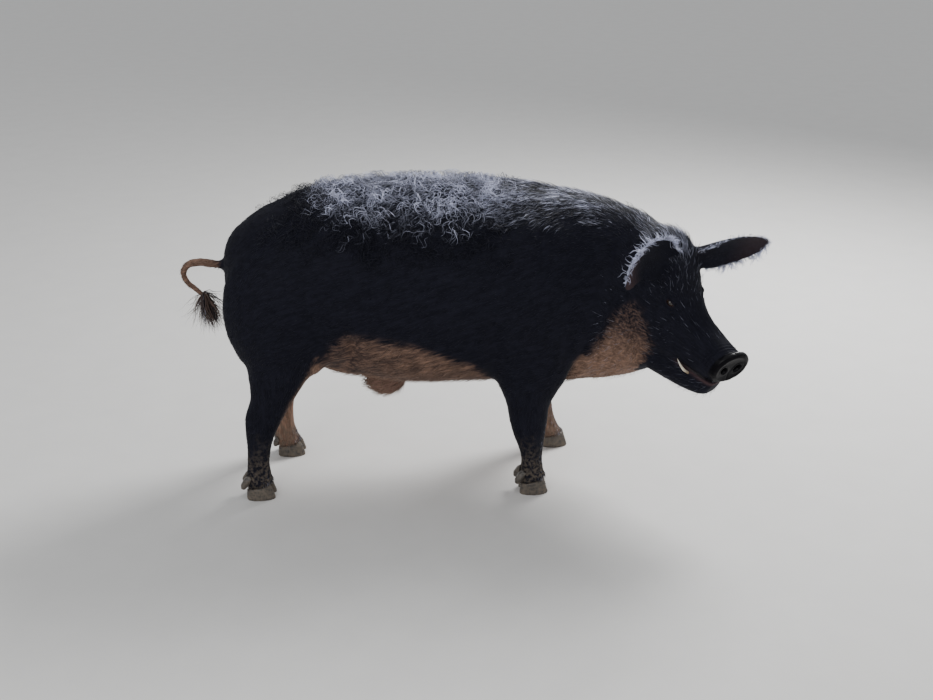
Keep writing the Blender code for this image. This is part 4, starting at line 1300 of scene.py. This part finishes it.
def tuftShades(roots, plan, locks):
    # tan, silver and tone of every tuft
    rng, count = roots.rng, len(roots.points)
    ownTan = rng.normal(size=count) * coatShades["tanSpread"] * (roots.tan > 0.08)
    tan = np.clip(roots.tan + ownTan, 0.0, 1.0)
    darkest = plan.get("darkest", coatShades["darkest"])
    lockShade = (darkest + (coatShades["brightest"] - darkest) * rng.random(count) ** 1.15)[locks]
    lockShade = lockShade * rng.uniform(*coatShades["ownSilver"], count) * (0.35 + 0.65 * roots.silver)
    silver = np.clip((rng.random(count) < roots.silver) * lockShade, 0.0, 1.0)
    grizzled = (rng.random(count) < plan.get("grizzle", 0.0)) * rng.uniform(*coatShades["grizzle"], count)
    tone = np.clip(rng.normal(size=count) * coatShades["toneSpread"], -1.0, 1.0)
    return {"tan": tan, "silver": np.maximum(silver, grizzled), "tone": tone}


def growTufts(name, roots, plan, *nodes):
    locks = lockNumbers(roots, plan)
    path = tuftPaths(roots, plan, locks)
    count = len(path)
    halfWidth = 0.5 * plan["width"] * roots.rng.uniform(0.75, 1.25, count)
    rings = tuftRings(roots, plan, path, halfWidth)
    perTuft = len(rings)
    triangles = tuftTriangles(coatSides, plan["steps"])
    faces = (triangles[None] + (np.arange(count) * perTuft)[:, None, None]).reshape(-1, 3)
    mesh = triangleMesh(name, np.stack(rings, axis=1).reshape(-1, 3), faces)
    shares = {key: np.repeat(values, perTuft) for key, values in tuftShades(roots, plan, locks).items()}
    heights = np.linspace(0.0, 1.0, plan["steps"] + 1)[:-1]
    shares["tip"] = np.tile(np.append(np.repeat(heights, coatSides), 1.0), count)
    setShares(mesh, shares)
    patch = [(patchSize * 0.5 * k, patchSize * t) for t in heights for k in range(coatSides)]
    patch = np.array(patch + [(patchSize * 0.5, patchSize)])
    corner = (unwrap(roots.points, roots.labels)[:, None] + patch[None]).reshape(-1, 2)
    uvs = mesh.uv_layers.new(name="OFBake").data
    uvs.foreach_set("uv", corner[faces.ravel()].astype(np.float32).ravel())
    handIn(show(name, mesh), hairMaterial, plan.get("slot", "dark_coat"), *nodes)
    coatCount[name] = len(faces)
    print(f"{name}: {count} tufts, {len(faces)} triangles")


def sideMasks(chosen):
    # the side's sign and word, and the part of the mask on that side
    for side, word in ((-1, "right"), (1, "left")):
        yield side, word, chosen & ((surface.points[:, 1] - trunkOrigin[1]) * side > 0.0)


inTrunk = surface.points - trunkOrigin
inHead = within(headAxes, surface.points)
trunkLabels = labelled(labels, "belly", "chest", "rump", "thigh")
curlLimits = {  # over which the grey curls grow to their fullest, in the trunk's frame
    "height": (0.655, 0.775),
    "rear": (-0.37, -0.15),
    "front": (0.19, 0.31),
}
curlEdge = 0.030 * ripple(surface.points, 0.11, 51) + 0.014 * ripple(surface.points, 0.045, 52)
curlShare = ramp(inTrunk[:, 2] + 0.6 * curlEdge, *curlLimits["height"]) * trunkLabels
curlShare *= ramp(inTrunk[:, 0] + 1.2 * curlEdge, *curlLimits["rear"])
curlShare *= fall(inTrunk[:, 0] - curlEdge, *curlLimits["front"])

coatPlans = {
    "flank": dict(spacing=0.0066, length=0.017, width=0.0015, lift=0.10, swing=0.16, steps=2),
    "belly": dict(
        spacing=0.0074, length=0.022, width=0.0014, lift=0.20, swing=0.28, droop=0.25, steps=3,
        slot="tan_coat",
    ),
    "neck": dict(spacing=0.0062, length=0.020, width=0.0015, lift=0.12, swing=0.18, steps=2),
    "curls": dict(
        spacing=0.0066, length=0.042, width=0.0014, lift=0.36, swing=0.85, wide=0.0072, turns=1.25,
        droop=0.15, steps=8, hug=0.004, perLock=7,
    ),
    "crest": dict(
        spacing=0.0054, length=0.034, width=0.0012, lift=0.20, swing=0.24, wide=0.0016, turns=0.7,
        steps=4, hug=0.002, grizzle=0.05, perLock=4,
    ),
    "head": dict(spacing=0.0044, length=0.0095, width=0.0011, lift=0.13, swing=0.16, steps=2, grizzle=0.05),
    "muzzle": dict(
        spacing=0.0040, length=0.0052, width=0.0008, lift=0.14, swing=0.18, steps=2, grizzle=0.04
    ),
    "legs": dict(spacing=0.0050, length=0.0120, width=0.0012, lift=0.12, swing=0.20, steps=2),
    "ears": dict(spacing=0.0048, length=0.0090, width=0.0009, lift=0.14, swing=0.22, steps=2),
    "earFringe": dict(
        spacing=0.0018, length=0.0220, width=0.0012, lift=0.20, swing=0.45, wide=0.0034, turns=0.9,
        steps=6, perLock=9, darkest=0.75,
    ),
    "coronets": dict(spacing=0.0030, length=0.0120, width=0.0011, lift=0.22, swing=0.16, steps=3),
    "bristles": dict(
        spacing=0.0100, length=0.0190, width=0.0007, lift=0.55, swing=0.40, steps=4, grizzle=0.35
    ),
    "strays": dict(
        spacing=0.0180, length=0.0210, width=0.0008, lift=0.10, swing=0.14, steps=4, hug=0.0012,
        grizzle=0.34,
    ),
    "tassel": dict(
        count=420, length=0.086, width=0.0020, lift=0.10, swing=0.10, wide=0.0028, turns=1.3, steps=8,
        slot="tail_hair",
    ),
    "lashes": dict(count=15, length=0.0075, width=0.0005, lift=0.35, swing=0.10, steps=4),
    "sheath": dict(
        spacing=0.0060, length=0.030, width=0.0011, lift=0.20, swing=0.3, wide=0.002, turns=0.7, steps=5,
        slot="tan_coat",
    ),
    "tail": dict(
        spacing=0.0040, length=0.0120, width=0.0011, lift=0.16, swing=0.20, steps=2, slot="tail_hair"
    ),
}


fringeSettings = {
    "sharp": (0.0016, 0.0034),  # how far the rims stand off the ears' rounded form
    "rounding": 24,
    "bandRounds": 14,
    # the right ear is woolly round its rim but for the lower edge of its tip
    "rightHeight": (-0.10, 0.25),
    "rightStart": (0.045, 0.065),
    "rightTip": (0.178, 0.200),
    "rightFullest": (0.140, 0.030),
    # the left one below its tip
    "leftHeight": (-0.1, 0.4),
    "leftStart": (0.080, 0.125),
    "start": (0.010, 0.035),
    "least": 0.12,
}


def earRims():
    # how sharply the ears' skin turns, the way out over the nearest rim, and the distance from the root
    out = surface.points - surface.blur(surface.points, fringeSettings["rounding"])
    sharp = ramp(np.linalg.norm(out, axis=1), *fringeSettings["sharp"]) * labelled(labels, "ear_")
    reach = np.zeros(surface.count)
    for name, root in earRoots():
        onEar = labelled(labels, name)
        reach[onEar] = np.linalg.norm(inHead[onEar] - root, axis=1)
    flow = surface.blur(unit(out) * sharp[:, None], fringeSettings["bandRounds"])
    band = surface.blur(sharp, fringeSettings["bandRounds"])
    return sharp, band, unit(0.6 * unit(flow) + 0.4 * unit(out) * sharp[:, None]), reach


def growEarFringe():
    plan = coatPlans["earFringe"]
    sharp, band, out, reach = earRims()
    behind = ramp(-(skinNormals @ headAhead), -0.45, 0.20)
    woolly = np.maximum(ramp(sharp, 0.05, 0.5), behind * ramp(band, 0.03, 0.14))
    nearEar = labelled(labels, "ear_right")
    onRight = nearEar * ramp(out[:, 2], *fringeSettings["rightHeight"])
    onRight = onRight * ramp(reach, *fringeSettings["rightStart"])
    onRight = onRight * (1.0 - 0.6 * ramp(reach, *fringeSettings["rightTip"]))
    onRight *= 1.0 + 0.35 * bell(reach, *fringeSettings["rightFullest"])
    lowerRim = ramp(-out[:, 2], *fringeSettings["leftHeight"])
    onLeft = ~nearEar * (0.25 + 0.85 * lowerRim * ramp(reach, *fringeSettings["leftStart"]))
    amount = woolly * (onRight + onLeft) * ramp(reach, *fringeSettings["start"])
    lie = 0.95 * out * (1.0, 0.12, 1.0) + 0.30 * skinLie
    roots = rootsOn(amount > fringeSettings["least"], plan["spacing"], 31, lie, amount)
    roots = roots.keep(roots.rng.random(len(roots.points)) < roots.extra + 0.15)
    roots.silver = 0.75 + 0.35 * roots.extra
    growTufts("coat_ear_fringe", roots, dict(plan, length=plan["length"] * (0.35 + 0.80 * roots.extra)))


tasselSettings = {
    "top": (0.010, 0.004),  # inwards and down from the solid's corner
    "half": (0.0085, 0.0085, 0.012),
    "sweep": 0.012,
    "tan": 0.55,
    "silver": 0.10,
}


def growTassel():
    plan = coatPlans["tassel"]
    rng = np.random.default_rng(33)
    low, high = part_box("tail_tassel")
    count = plan["count"]
    normals = unit(rng.normal(size=(count, 3)) * (1.0, 1.0, 0.5))
    inset, below = tasselSettings["top"]
    middle = 0.5 * (low[1] + high[1])
    top = np.array((low[0] + inset, middle, high[2] - below))
    way = np.array((0.5 * (low[0] + high[0]) + tasselSettings["sweep"], middle, low[2])) - top
    share = rng.random(count)
    roots = Roots(
        rng,
        top + normals * tasselSettings["half"],
        normals,
        np.tile(way, (count, 1)),
        tasselSettings["tan"] * share,
        np.full(count, tasselSettings["silver"]),
        np.full(count, fleshNames.index("tail_base")),
        share,
    )
    growTufts("coat_tassel", roots, plan, "tail_tassel")


lashSettings = {
    "lid": 0.0018,
    "ends": (0.12, 0.88),  # of the half turn over the eye
    "placeHalf": (1.12, 1.25),  # in halves of the opening
    "tan": 0.15,
}


def growLashes():
    plan = coatPlans["lashes"]
    rng = np.random.default_rng(35)
    halfLong, halfHigh = eyeSettings["openingHalf"]
    count = plan["count"]
    angle = np.linspace(*lashSettings["ends"], count) * math.pi
    along, above = lashSettings["placeHalf"]
    squared = (eyeSettings["radius"] + lashSettings["lid"]) ** 2 - (1.1 * halfLong * np.cos(angle)) ** 2
    out = np.sqrt(np.maximum(squared, 0.0))
    local = np.stack((along * halfLong * np.cos(angle), above * halfHigh * np.sin(angle), out), axis=1)
    for side, word in ((1, "left"), (-1, "right")):
        axes = eyeAxes(side)
        turn = np.array(axes.to_3x3())
        roots = Roots(
            rng,
            local @ turn.T + np.array(axes.translation),
            np.tile(turn[:, 1], (count, 1)),
            turn[:, 2][None] + np.cos(angle)[:, None] * 0.7 * turn[:, 0][None],
            np.full(count, lashSettings["tan"]),
            np.zeros(count),
            np.full(count, fleshNames.index("head")),
            angle,
        )
        growTufts(f"lashes_{word}", roots, plan)


coatLimits = {  # where each part of the coat ends
    "bellyTan": 0.5,
    "bellyTop": 0.50,
    "curls": 0.05,
    "crestSilver": 0.15,
    "crestRear": 0.20,
    "eyeRadius": 0.017,
    "eyeDepth": 0.03,
    "lipHalf": 0.004,
    "muzzleStart": 0.20,
    "muzzleEnd": -0.022,
    "strayStart": 0.05,
    "strayEnd": -0.045,
    "coronet": (0.038, 0.054),
    "jawTop": -0.055,
    "browBase": 0.075,
    "brow": (0.09, 0.16),
}


def clearOfEyes():
    away = np.ones(surface.count, dtype=bool)
    for side in (1, -1):
        byEye = within(eyeAxes(side), surface.points)
        beside = np.hypot(byEye[:, 0], byEye[:, 1]) > coatLimits["eyeRadius"]
        away &= beside | (np.abs(byEye[:, 2]) > coatLimits["eyeDepth"])
    return away


def between(values, limits):
    return (values > limits[0]) & (values < limits[1])


def growOn(name, chosen, seed, plan):
    growTufts(name, rootsOn(chosen, coatPlans[plan]["spacing"], seed), coatPlans[plan])


def growOnSides(name, chosen, seed, plan):
    # the same coat on both sides, each in its own piece
    for side, word, here in sideMasks(chosen):
        growOn(f"{name}_{word}", here, seed + side, plan)


def growCurls():
    plan = coatPlans["curls"]
    for side, word, here in sideMasks(curlShare > coatLimits["curls"]):
        roots = rootsOn(here, plan["spacing"], 15 + side, skinLie, curlShare)
        roots = roots.keep(roots.rng.random(len(roots.points)) < 0.12 + 1.2 * roots.extra)
        length = plan["length"] * (0.40 + 0.60 * np.sqrt(roots.extra))
        growTufts(f"coat_curls_{word}", roots, dict(plan, length=length))


def growCoat():
    height, ahead = inTrunk[:, 2], inHead[:, 0]
    below = labelled(labels, "belly", "chest", "sheath") & (tanShare > coatLimits["bellyTan"])
    below &= height < coatLimits["bellyTop"]
    growOnSides("coat_flank", trunkLabels & ~below & ~labelled(labels, "scrotum"), 11, "flank")
    growOn("coat_belly", below, 12, "belly")
    growOn("coat_neck", labelled(labels, "neck"), 13, "neck")
    growCurls()
    # the crest's pale hair on the neck is painted sheen
    onCrest = (silverAndSheenShare > coatLimits["crestSilver"]) & labelled(labels, "neck", "head", "chest")
    growOn("coat_crest", onCrest & (inTrunk[:, 0] > coatLimits["crestRear"]), 17, "crest")
    onFace = labelled(labels, "head", "muzzle", "jaw") & clearOfEyes()
    haired = ~(np.abs(inHead[:, 2] - mouthHeight(ahead)) < coatLimits["lipHalf"])
    front = ahead > coatLimits["muzzleStart"]
    byDisc = within(discAxes, surface.points)[:, 0]
    growOn("coat_head", onFace & ~front, 19, "head")
    growOn("coat_muzzle", onFace & front & (byDisc < coatLimits["muzzleEnd"]) & haired, 21, "muzzle")
    growOnSides("coat_legs", labelled(labels, *limbWords), 23, "legs")
    growOn("coat_ears", labelled(labels, "ear_"), 25, "ears")
    growOn("coat_tail", labelled(labels, "tail_base"), 27, "tail")
    growEarFringe()
    growTassel()
    growLashes()
    aroundHoof = labelled(labels, "pastern") & between(height, coatLimits["coronet"])
    growOn("coat_coronets", aroundHoof, 37, "coronets")
    underJaw = labelled(labels, "jaw", "head") & (inHead[:, 2] < coatLimits["jawTop"]) & haired
    brow = labelled(labels, "head") & (inHead[:, 2] > coatLimits["browBase"])
    growOn("bristles", underJaw | (brow & between(ahead, coatLimits["brow"])), 39, "bristles")
    alongFace = onFace & (ahead > coatLimits["strayStart"]) & (byDisc < coatLimits["strayEnd"]) & haired
    growOn("coat_strays", alongFace, 43, "strays")
    growOn("coat_sheath", labelled(labels, "sheath"), 41, "sheath")
    report("coat")


growCoat()
print("coat triangles", sum(coatCount.values()))


# eyes
def latheMesh(name, profile, around):
    # profile: distance from the axis and height along z, from the front point to the back point
    points = [(0.0, 0.0, profile[0][1])]
    for radius, height in profile[1:-1]:
        for k in range(around):
            angle = 2.0 * math.pi * k / around
            points.append((radius * math.cos(angle), radius * math.sin(angle), height))
    points.append((0.0, 0.0, profile[-1][1]))
    faces = [(0, 1 + k, 1 + (k + 1) % around) for k in range(around)]
    rings = len(profile) - 2
    for j in range(rings - 1):
        for k in range(around):
            a, b = 1 + j * around + k, 1 + j * around + (k + 1) % around
            faces.append((a, a + around, b + around, b))
    last, start = len(points) - 1, 1 + (rings - 1) * around
    faces += [(last, start + (k + 1) % around, start + k) for k in range(around)]
    mesh = bpy.data.meshes.new(name)
    mesh.from_pydata(points, [], faces)
    return mesh


eyeColours = {
    "iris": ((0.040, 0.019, 0.009, 1.0), (0.012, 0.007, 0.004, 1.0)),
    "white": ((0.110, 0.080, 0.065, 1.0), (0.060, 0.035, 0.030, 1.0)),
    "pupil": (0.0035, 0.003, 0.003, 1.0),
    "pupilHalf": (0.0036, 0.0026),
    "irisEdge": (0.0074, 0.0084),
}


def makeEyeMaterial():
    made, graph, shader = newMaterial("eye_gloss", 0.12, Coat_Weight=0.3, Coat_Roughness=0.03)
    squares, ovals = [], []
    for name, half in zip(("across", "up"), eyeColours["pupilHalf"]):
        offset = graph.share(name)
        squares.append(graph.maths("POWER", offset, 2.0))
        ovals.append(graph.maths("POWER", graph.maths("DIVIDE", offset, half), 2.0))
    pupil = graph.maths("ADD", *ovals)
    ring = graph.maths("SQRT", graph.maths("ADD", *squares))
    rays = graph.noise(graph.place(), 900.0, 3.0)
    iris = graph.mix(rays, *eyeColours["iris"])
    white = graph.mix(rays, *eyeColours["white"])
    colour = graph.mix(graph.spread(ring, *eyeColours["irisEdge"]), iris, white)
    colour = graph.mix(graph.spread(pupil, 0.8, 1.25), eyeColours["pupil"], colour)
    graph.put(shader["Base Color"], colour)
    return made


def growEyes():
    radius, rings = eyeSettings["radius"], eyeSettings["rings"]
    corneaRise, corneaHalf = eyeSettings["cornea"]
    profile = []
    for j in range(rings + 1):
        angle = math.pi * j / rings
        cornea = 1.0 + corneaRise * math.exp(-((angle / corneaHalf) ** 2))
        profile.append((radius * math.sin(angle), radius * math.cos(angle) * cornea))
    material = makeEyeMaterial()
    for side, name in ((1, "eye_left"), (-1, "eye_right")):
        mesh = latheMesh(f"ball_{name}", profile, eyeSettings["around"])
        local = np.array([vert.co for vert in mesh.vertices])
        setShares(mesh, {"across": local[:, 0], "up": local[:, 1]})
        mesh.transform(eyeAxes(side))
        handIn(show(f"ball_{name}", mesh), material, "eye_gloss", name)


growEyes()


# hooves, dewclaws and tusks: the solids made fine
def fineCopy(name, node, grid, passes):
    points, corners = meshArrays(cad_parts[node].data)
    piece = closeOver(show(name, meshFrom(name, points, corners)), grid)
    piece.data.name = name
    fine = Surface(piece.data)
    fine.smooth(passes, np.ones(fine.count), 0.55)
    return piece, fine


uprightTurn = (0.0, math.pi / 2.0, 0.0)  # lays the streaks along z
hornSettings = {
    "grid": 0.0022,
    "dewclawGrid": 0.8,  # of the hooves'
    "passes": 7,
    "wallStart": (0.003, 0.008),  # growth rings begin this high
    "ringStep": 0.0042,
    "ringSlope": 0.10,
    "ringDepth": 0.00035,
    "top": 0.042,
    "crownHeight": 0.012,
    "crownInset": 0.0045,
    "flatten": (0.0010, 0.0024),  # what lies lower than this is laid on the floor
    "fineness": 480.0,
    "streaks": ((0.030, 0.026, 0.024, 1.0), (0.085, 0.072, 0.060, 1.0)),
    "rings": (0.120, 0.100, 0.080, 1.0),
    "mudTop": 0.075,
    "mud": 0.8,
    "bump": 0.0008,
}


def makeHornMaterial():
    made, graph, shader = newMaterial("hoof_horn", 0.5, Specular_IOR_Level=0.45)
    place = graph.place()
    upright = graph.turned(place, uprightTurn)
    fibres = graph.group(combedHair, {"Vector": upright, "Fineness": hornSettings["fineness"]})
    colour = graph.mix(fibres["Streaks"], *hornSettings["streaks"])
    rings = graph.noise(graph.stretched(place, (0.12, 0.12, 1.0)), 300.0)
    colour = graph.mix(graph.spread(rings, 0.35, 0.65, 0.0, 0.5), colour, hornSettings["rings"])
    mud = graph.group(driedMud, {
        "Colour": colour, "Place": place, "Top": hornSettings["mudTop"], "Amount": hornSettings["mud"],
    })
    graph.put(shader["Base Color"], mud["Colour"])
    graph.put(shader["Roughness"], graph.spread(mud["Mask"], 0.0, 0.6, 0.42, 0.9))
    height = graph.maths("MULTIPLY_ADD", rings, 0.8, fibres["Height"])
    graph.put(shader["Normal"], graph.bump(height, hornSettings["bump"], 0.7))
    return made


def insetCrown(points, level, node):
    # the crown leans in towards the middle of its own foot; those of the left feet's left claws
    # lean towards the middle of both feet
    crown = ramp(level, hornSettings["top"] - hornSettings["crownHeight"], hornSettings["top"])
    other = node.replace("_left", "_right") if node.endswith("_left") else node
    inward = midBox(other, node.rsplit("_", 1)[0] + "_left") - points
    inward[:, 2] = 0.0
    points += unit(inward) * (hornSettings["crownInset"] * crown)[:, None]


def makeHooves():
    material = makeHornMaterial()
    for node in sorted(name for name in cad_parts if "hoof" in name or "dewclaw" in name):
        isHoof = "hoof" in node
        grid = hornSettings["grid"] * (1.0 if isHoof else hornSettings["dewclawGrid"])
        piece, fine = fineCopy(f"horn_{node}", node, grid, hornSettings["passes"])
        normals = fine.normals()
        level = fine.points[:, 2]
        wall = ramp(level, *hornSettings["wallStart"]) * fall(np.abs(normals[:, 2]), 0.4, 0.8)
        sloped = level + hornSettings["ringSlope"] * fine.points[:, 0]
        rings = np.sin(2.0 * math.pi * sloped / hornSettings["ringStep"])
        fine.points += normals * (hornSettings["ringDepth"] * rings * wall)[:, None]
        fine.points[:, 2] = np.maximum(fine.points[:, 2], 0.0)
        if isHoof:
            insetCrown(fine.points, level, node)
            fine.points[:, 2] *= 1.0 - fall(fine.points[:, 2], *hornSettings["flatten"])
        keepPoints(piece, fine.points)
        handIn(piece, material, "hoof_horn", node)


makeHooves()


tuskSettings = {
    "grid": 0.0009,
    "passes": 4,
    "sink": 0.0007,
    "rootHeight": 0.016,
    "rootMove": 0.008,  # of the root, in under the lip
    "rootDrop": 0.2,
    "stain": 0.9,
    "stainRange": (0.05, 0.45),
    "fineness": 900.0,
    "ivory": ((0.640, 0.560, 0.430, 1.0), (0.780, 0.740, 0.650, 1.0)),
    "stained": (0.280, 0.190, 0.100, 1.0),
    "bump": 0.0004,
}


def makeTuskMaterial():
    made, graph, shader = newMaterial("tusk_ivory", 0.3, Coat_Weight=0.4, Coat_Roughness=0.15)
    lengthwise = graph.turned(graph.place(), uprightTurn)
    lines = graph.group(combedHair, {"Vector": lengthwise, "Fineness": tuskSettings["fineness"]})
    colour = graph.mix(lines["Streaks"], *tuskSettings["ivory"])
    colour = graph.mix(graph.share("root"), colour, tuskSettings["stained"])
    graph.put(shader["Base Color"], colour)
    graph.put(shader["Normal"], graph.bump(lines["Height"], tuskSettings["bump"], 0.5))
    return made


def makeTusks():
    material = makeTuskMaterial()
    for node, toMiddle in (("tusk_left", -headLeft), ("tusk_right", headLeft)):
        low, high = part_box(node)
        piece, fine = fineCopy(f"ivory_{node}", node, tuskSettings["grid"], tuskSettings["passes"])
        fine.points -= fine.normals() * tuskSettings["sink"]
        rootward = ramp(low[2] - fine.points[:, 2], -tuskSettings["rootHeight"], 0.0)
        move = toMiddle - (0.0, 0.0, tuskSettings["rootDrop"])
        fine.points += (tuskSettings["rootMove"] * rootward)[:, None] * move
        keepPoints(piece, fine.points)
        rise = (fine.points[:, 2] - low[2]) / (high[2] - low[2])
        setShares(piece.data, {"root": tuskSettings["stain"] * fall(rise, *tuskSettings["stainRange"])})
        handIn(piece, material, "tusk_ivory", node)


makeTusks()
report("eyes, hooves and tusks")


# floor, light and camera
studioSettings = {
    "floorHalf": 30.0,
    "floorShades": ((0.70, 0.69, 0.67, 1.0), (0.76, 0.75, 0.73, 1.0)),
    "worldColour": (0.95, 0.97, 1.0, 1.0),
    "world": 0.62,
    "lamps": {  # place, power, size
        "key": ((1.7, 1.7, 2.6), 150.0, 1.4),
        "fill": ((-1.8, -3.4, 2.2), 46.0, 2.4),
    },
    "aim": (0.0, 0.0, 0.4),
    "cameraPlace": (-0.0355, -2.9536, 1.6),  # from the floor's point under the trunk
    "cameraTurn": (67.2, 0.0, -3.6),
    "lens": 45.9,
    "sensor": 36.0,
}


def buildFloor():
    half = studioSettings["floorHalf"]
    corners = [(-half, -half, 0), (half, -half, 0), (half, half, 0), (-half, half, 0)]
    floor = show("floor", bpy.data.meshes.new("floor"))
    floor.data.from_pydata(corners, [], [(0, 1, 2, 3)])
    material, graph, shader = newMaterial("pale_floor", 0.9)
    dust = graph.noise(graph.place(), 9.0, 5.0)
    graph.put(shader["Base Color"], graph.mix(dust, *studioSettings["floorShades"]))
    floor.data.materials.append(material)


def buildWorld():
    world = bpy.data.worlds.new("studio")
    bpy.context.scene.world = world
    world.use_nodes = True
    background = world.node_tree.nodes["Background"]
    background.inputs[0].default_value = studioSettings["worldColour"]
    background.inputs[1].default_value = studioSettings["world"]


def putObject(name, data, where, turns):
    made = bpy.data.objects.new(name, data)
    bpy.context.scene.collection.objects.link(made)
    made.location = where
    made.rotation_euler = turns
    return made


def buildStudio():
    buildFloor()
    buildWorld()
    aim = Vector(studioSettings["aim"])
    for name, (where, power, size) in studioSettings["lamps"].items():
        data = bpy.data.lights.new(name, "AREA")
        data.size = size
        data.energy = power
        putObject(name, data, where, (aim - Vector(where)).to_track_quat("-Z", "Y").to_euler())
    data = bpy.data.cameras.new("camera")
    data.lens = studioSettings["lens"]
    data.sensor_width = studioSettings["sensor"]
    where = Vector(studioSettings["cameraPlace"]) + Vector(trunkOrigin.tolist())
    turns = [math.radians(angle) for angle in studioSettings["cameraTurn"]]
    bpy.context.scene.camera = putObject("camera", data, where, turns)


buildStudio()
report("studio")
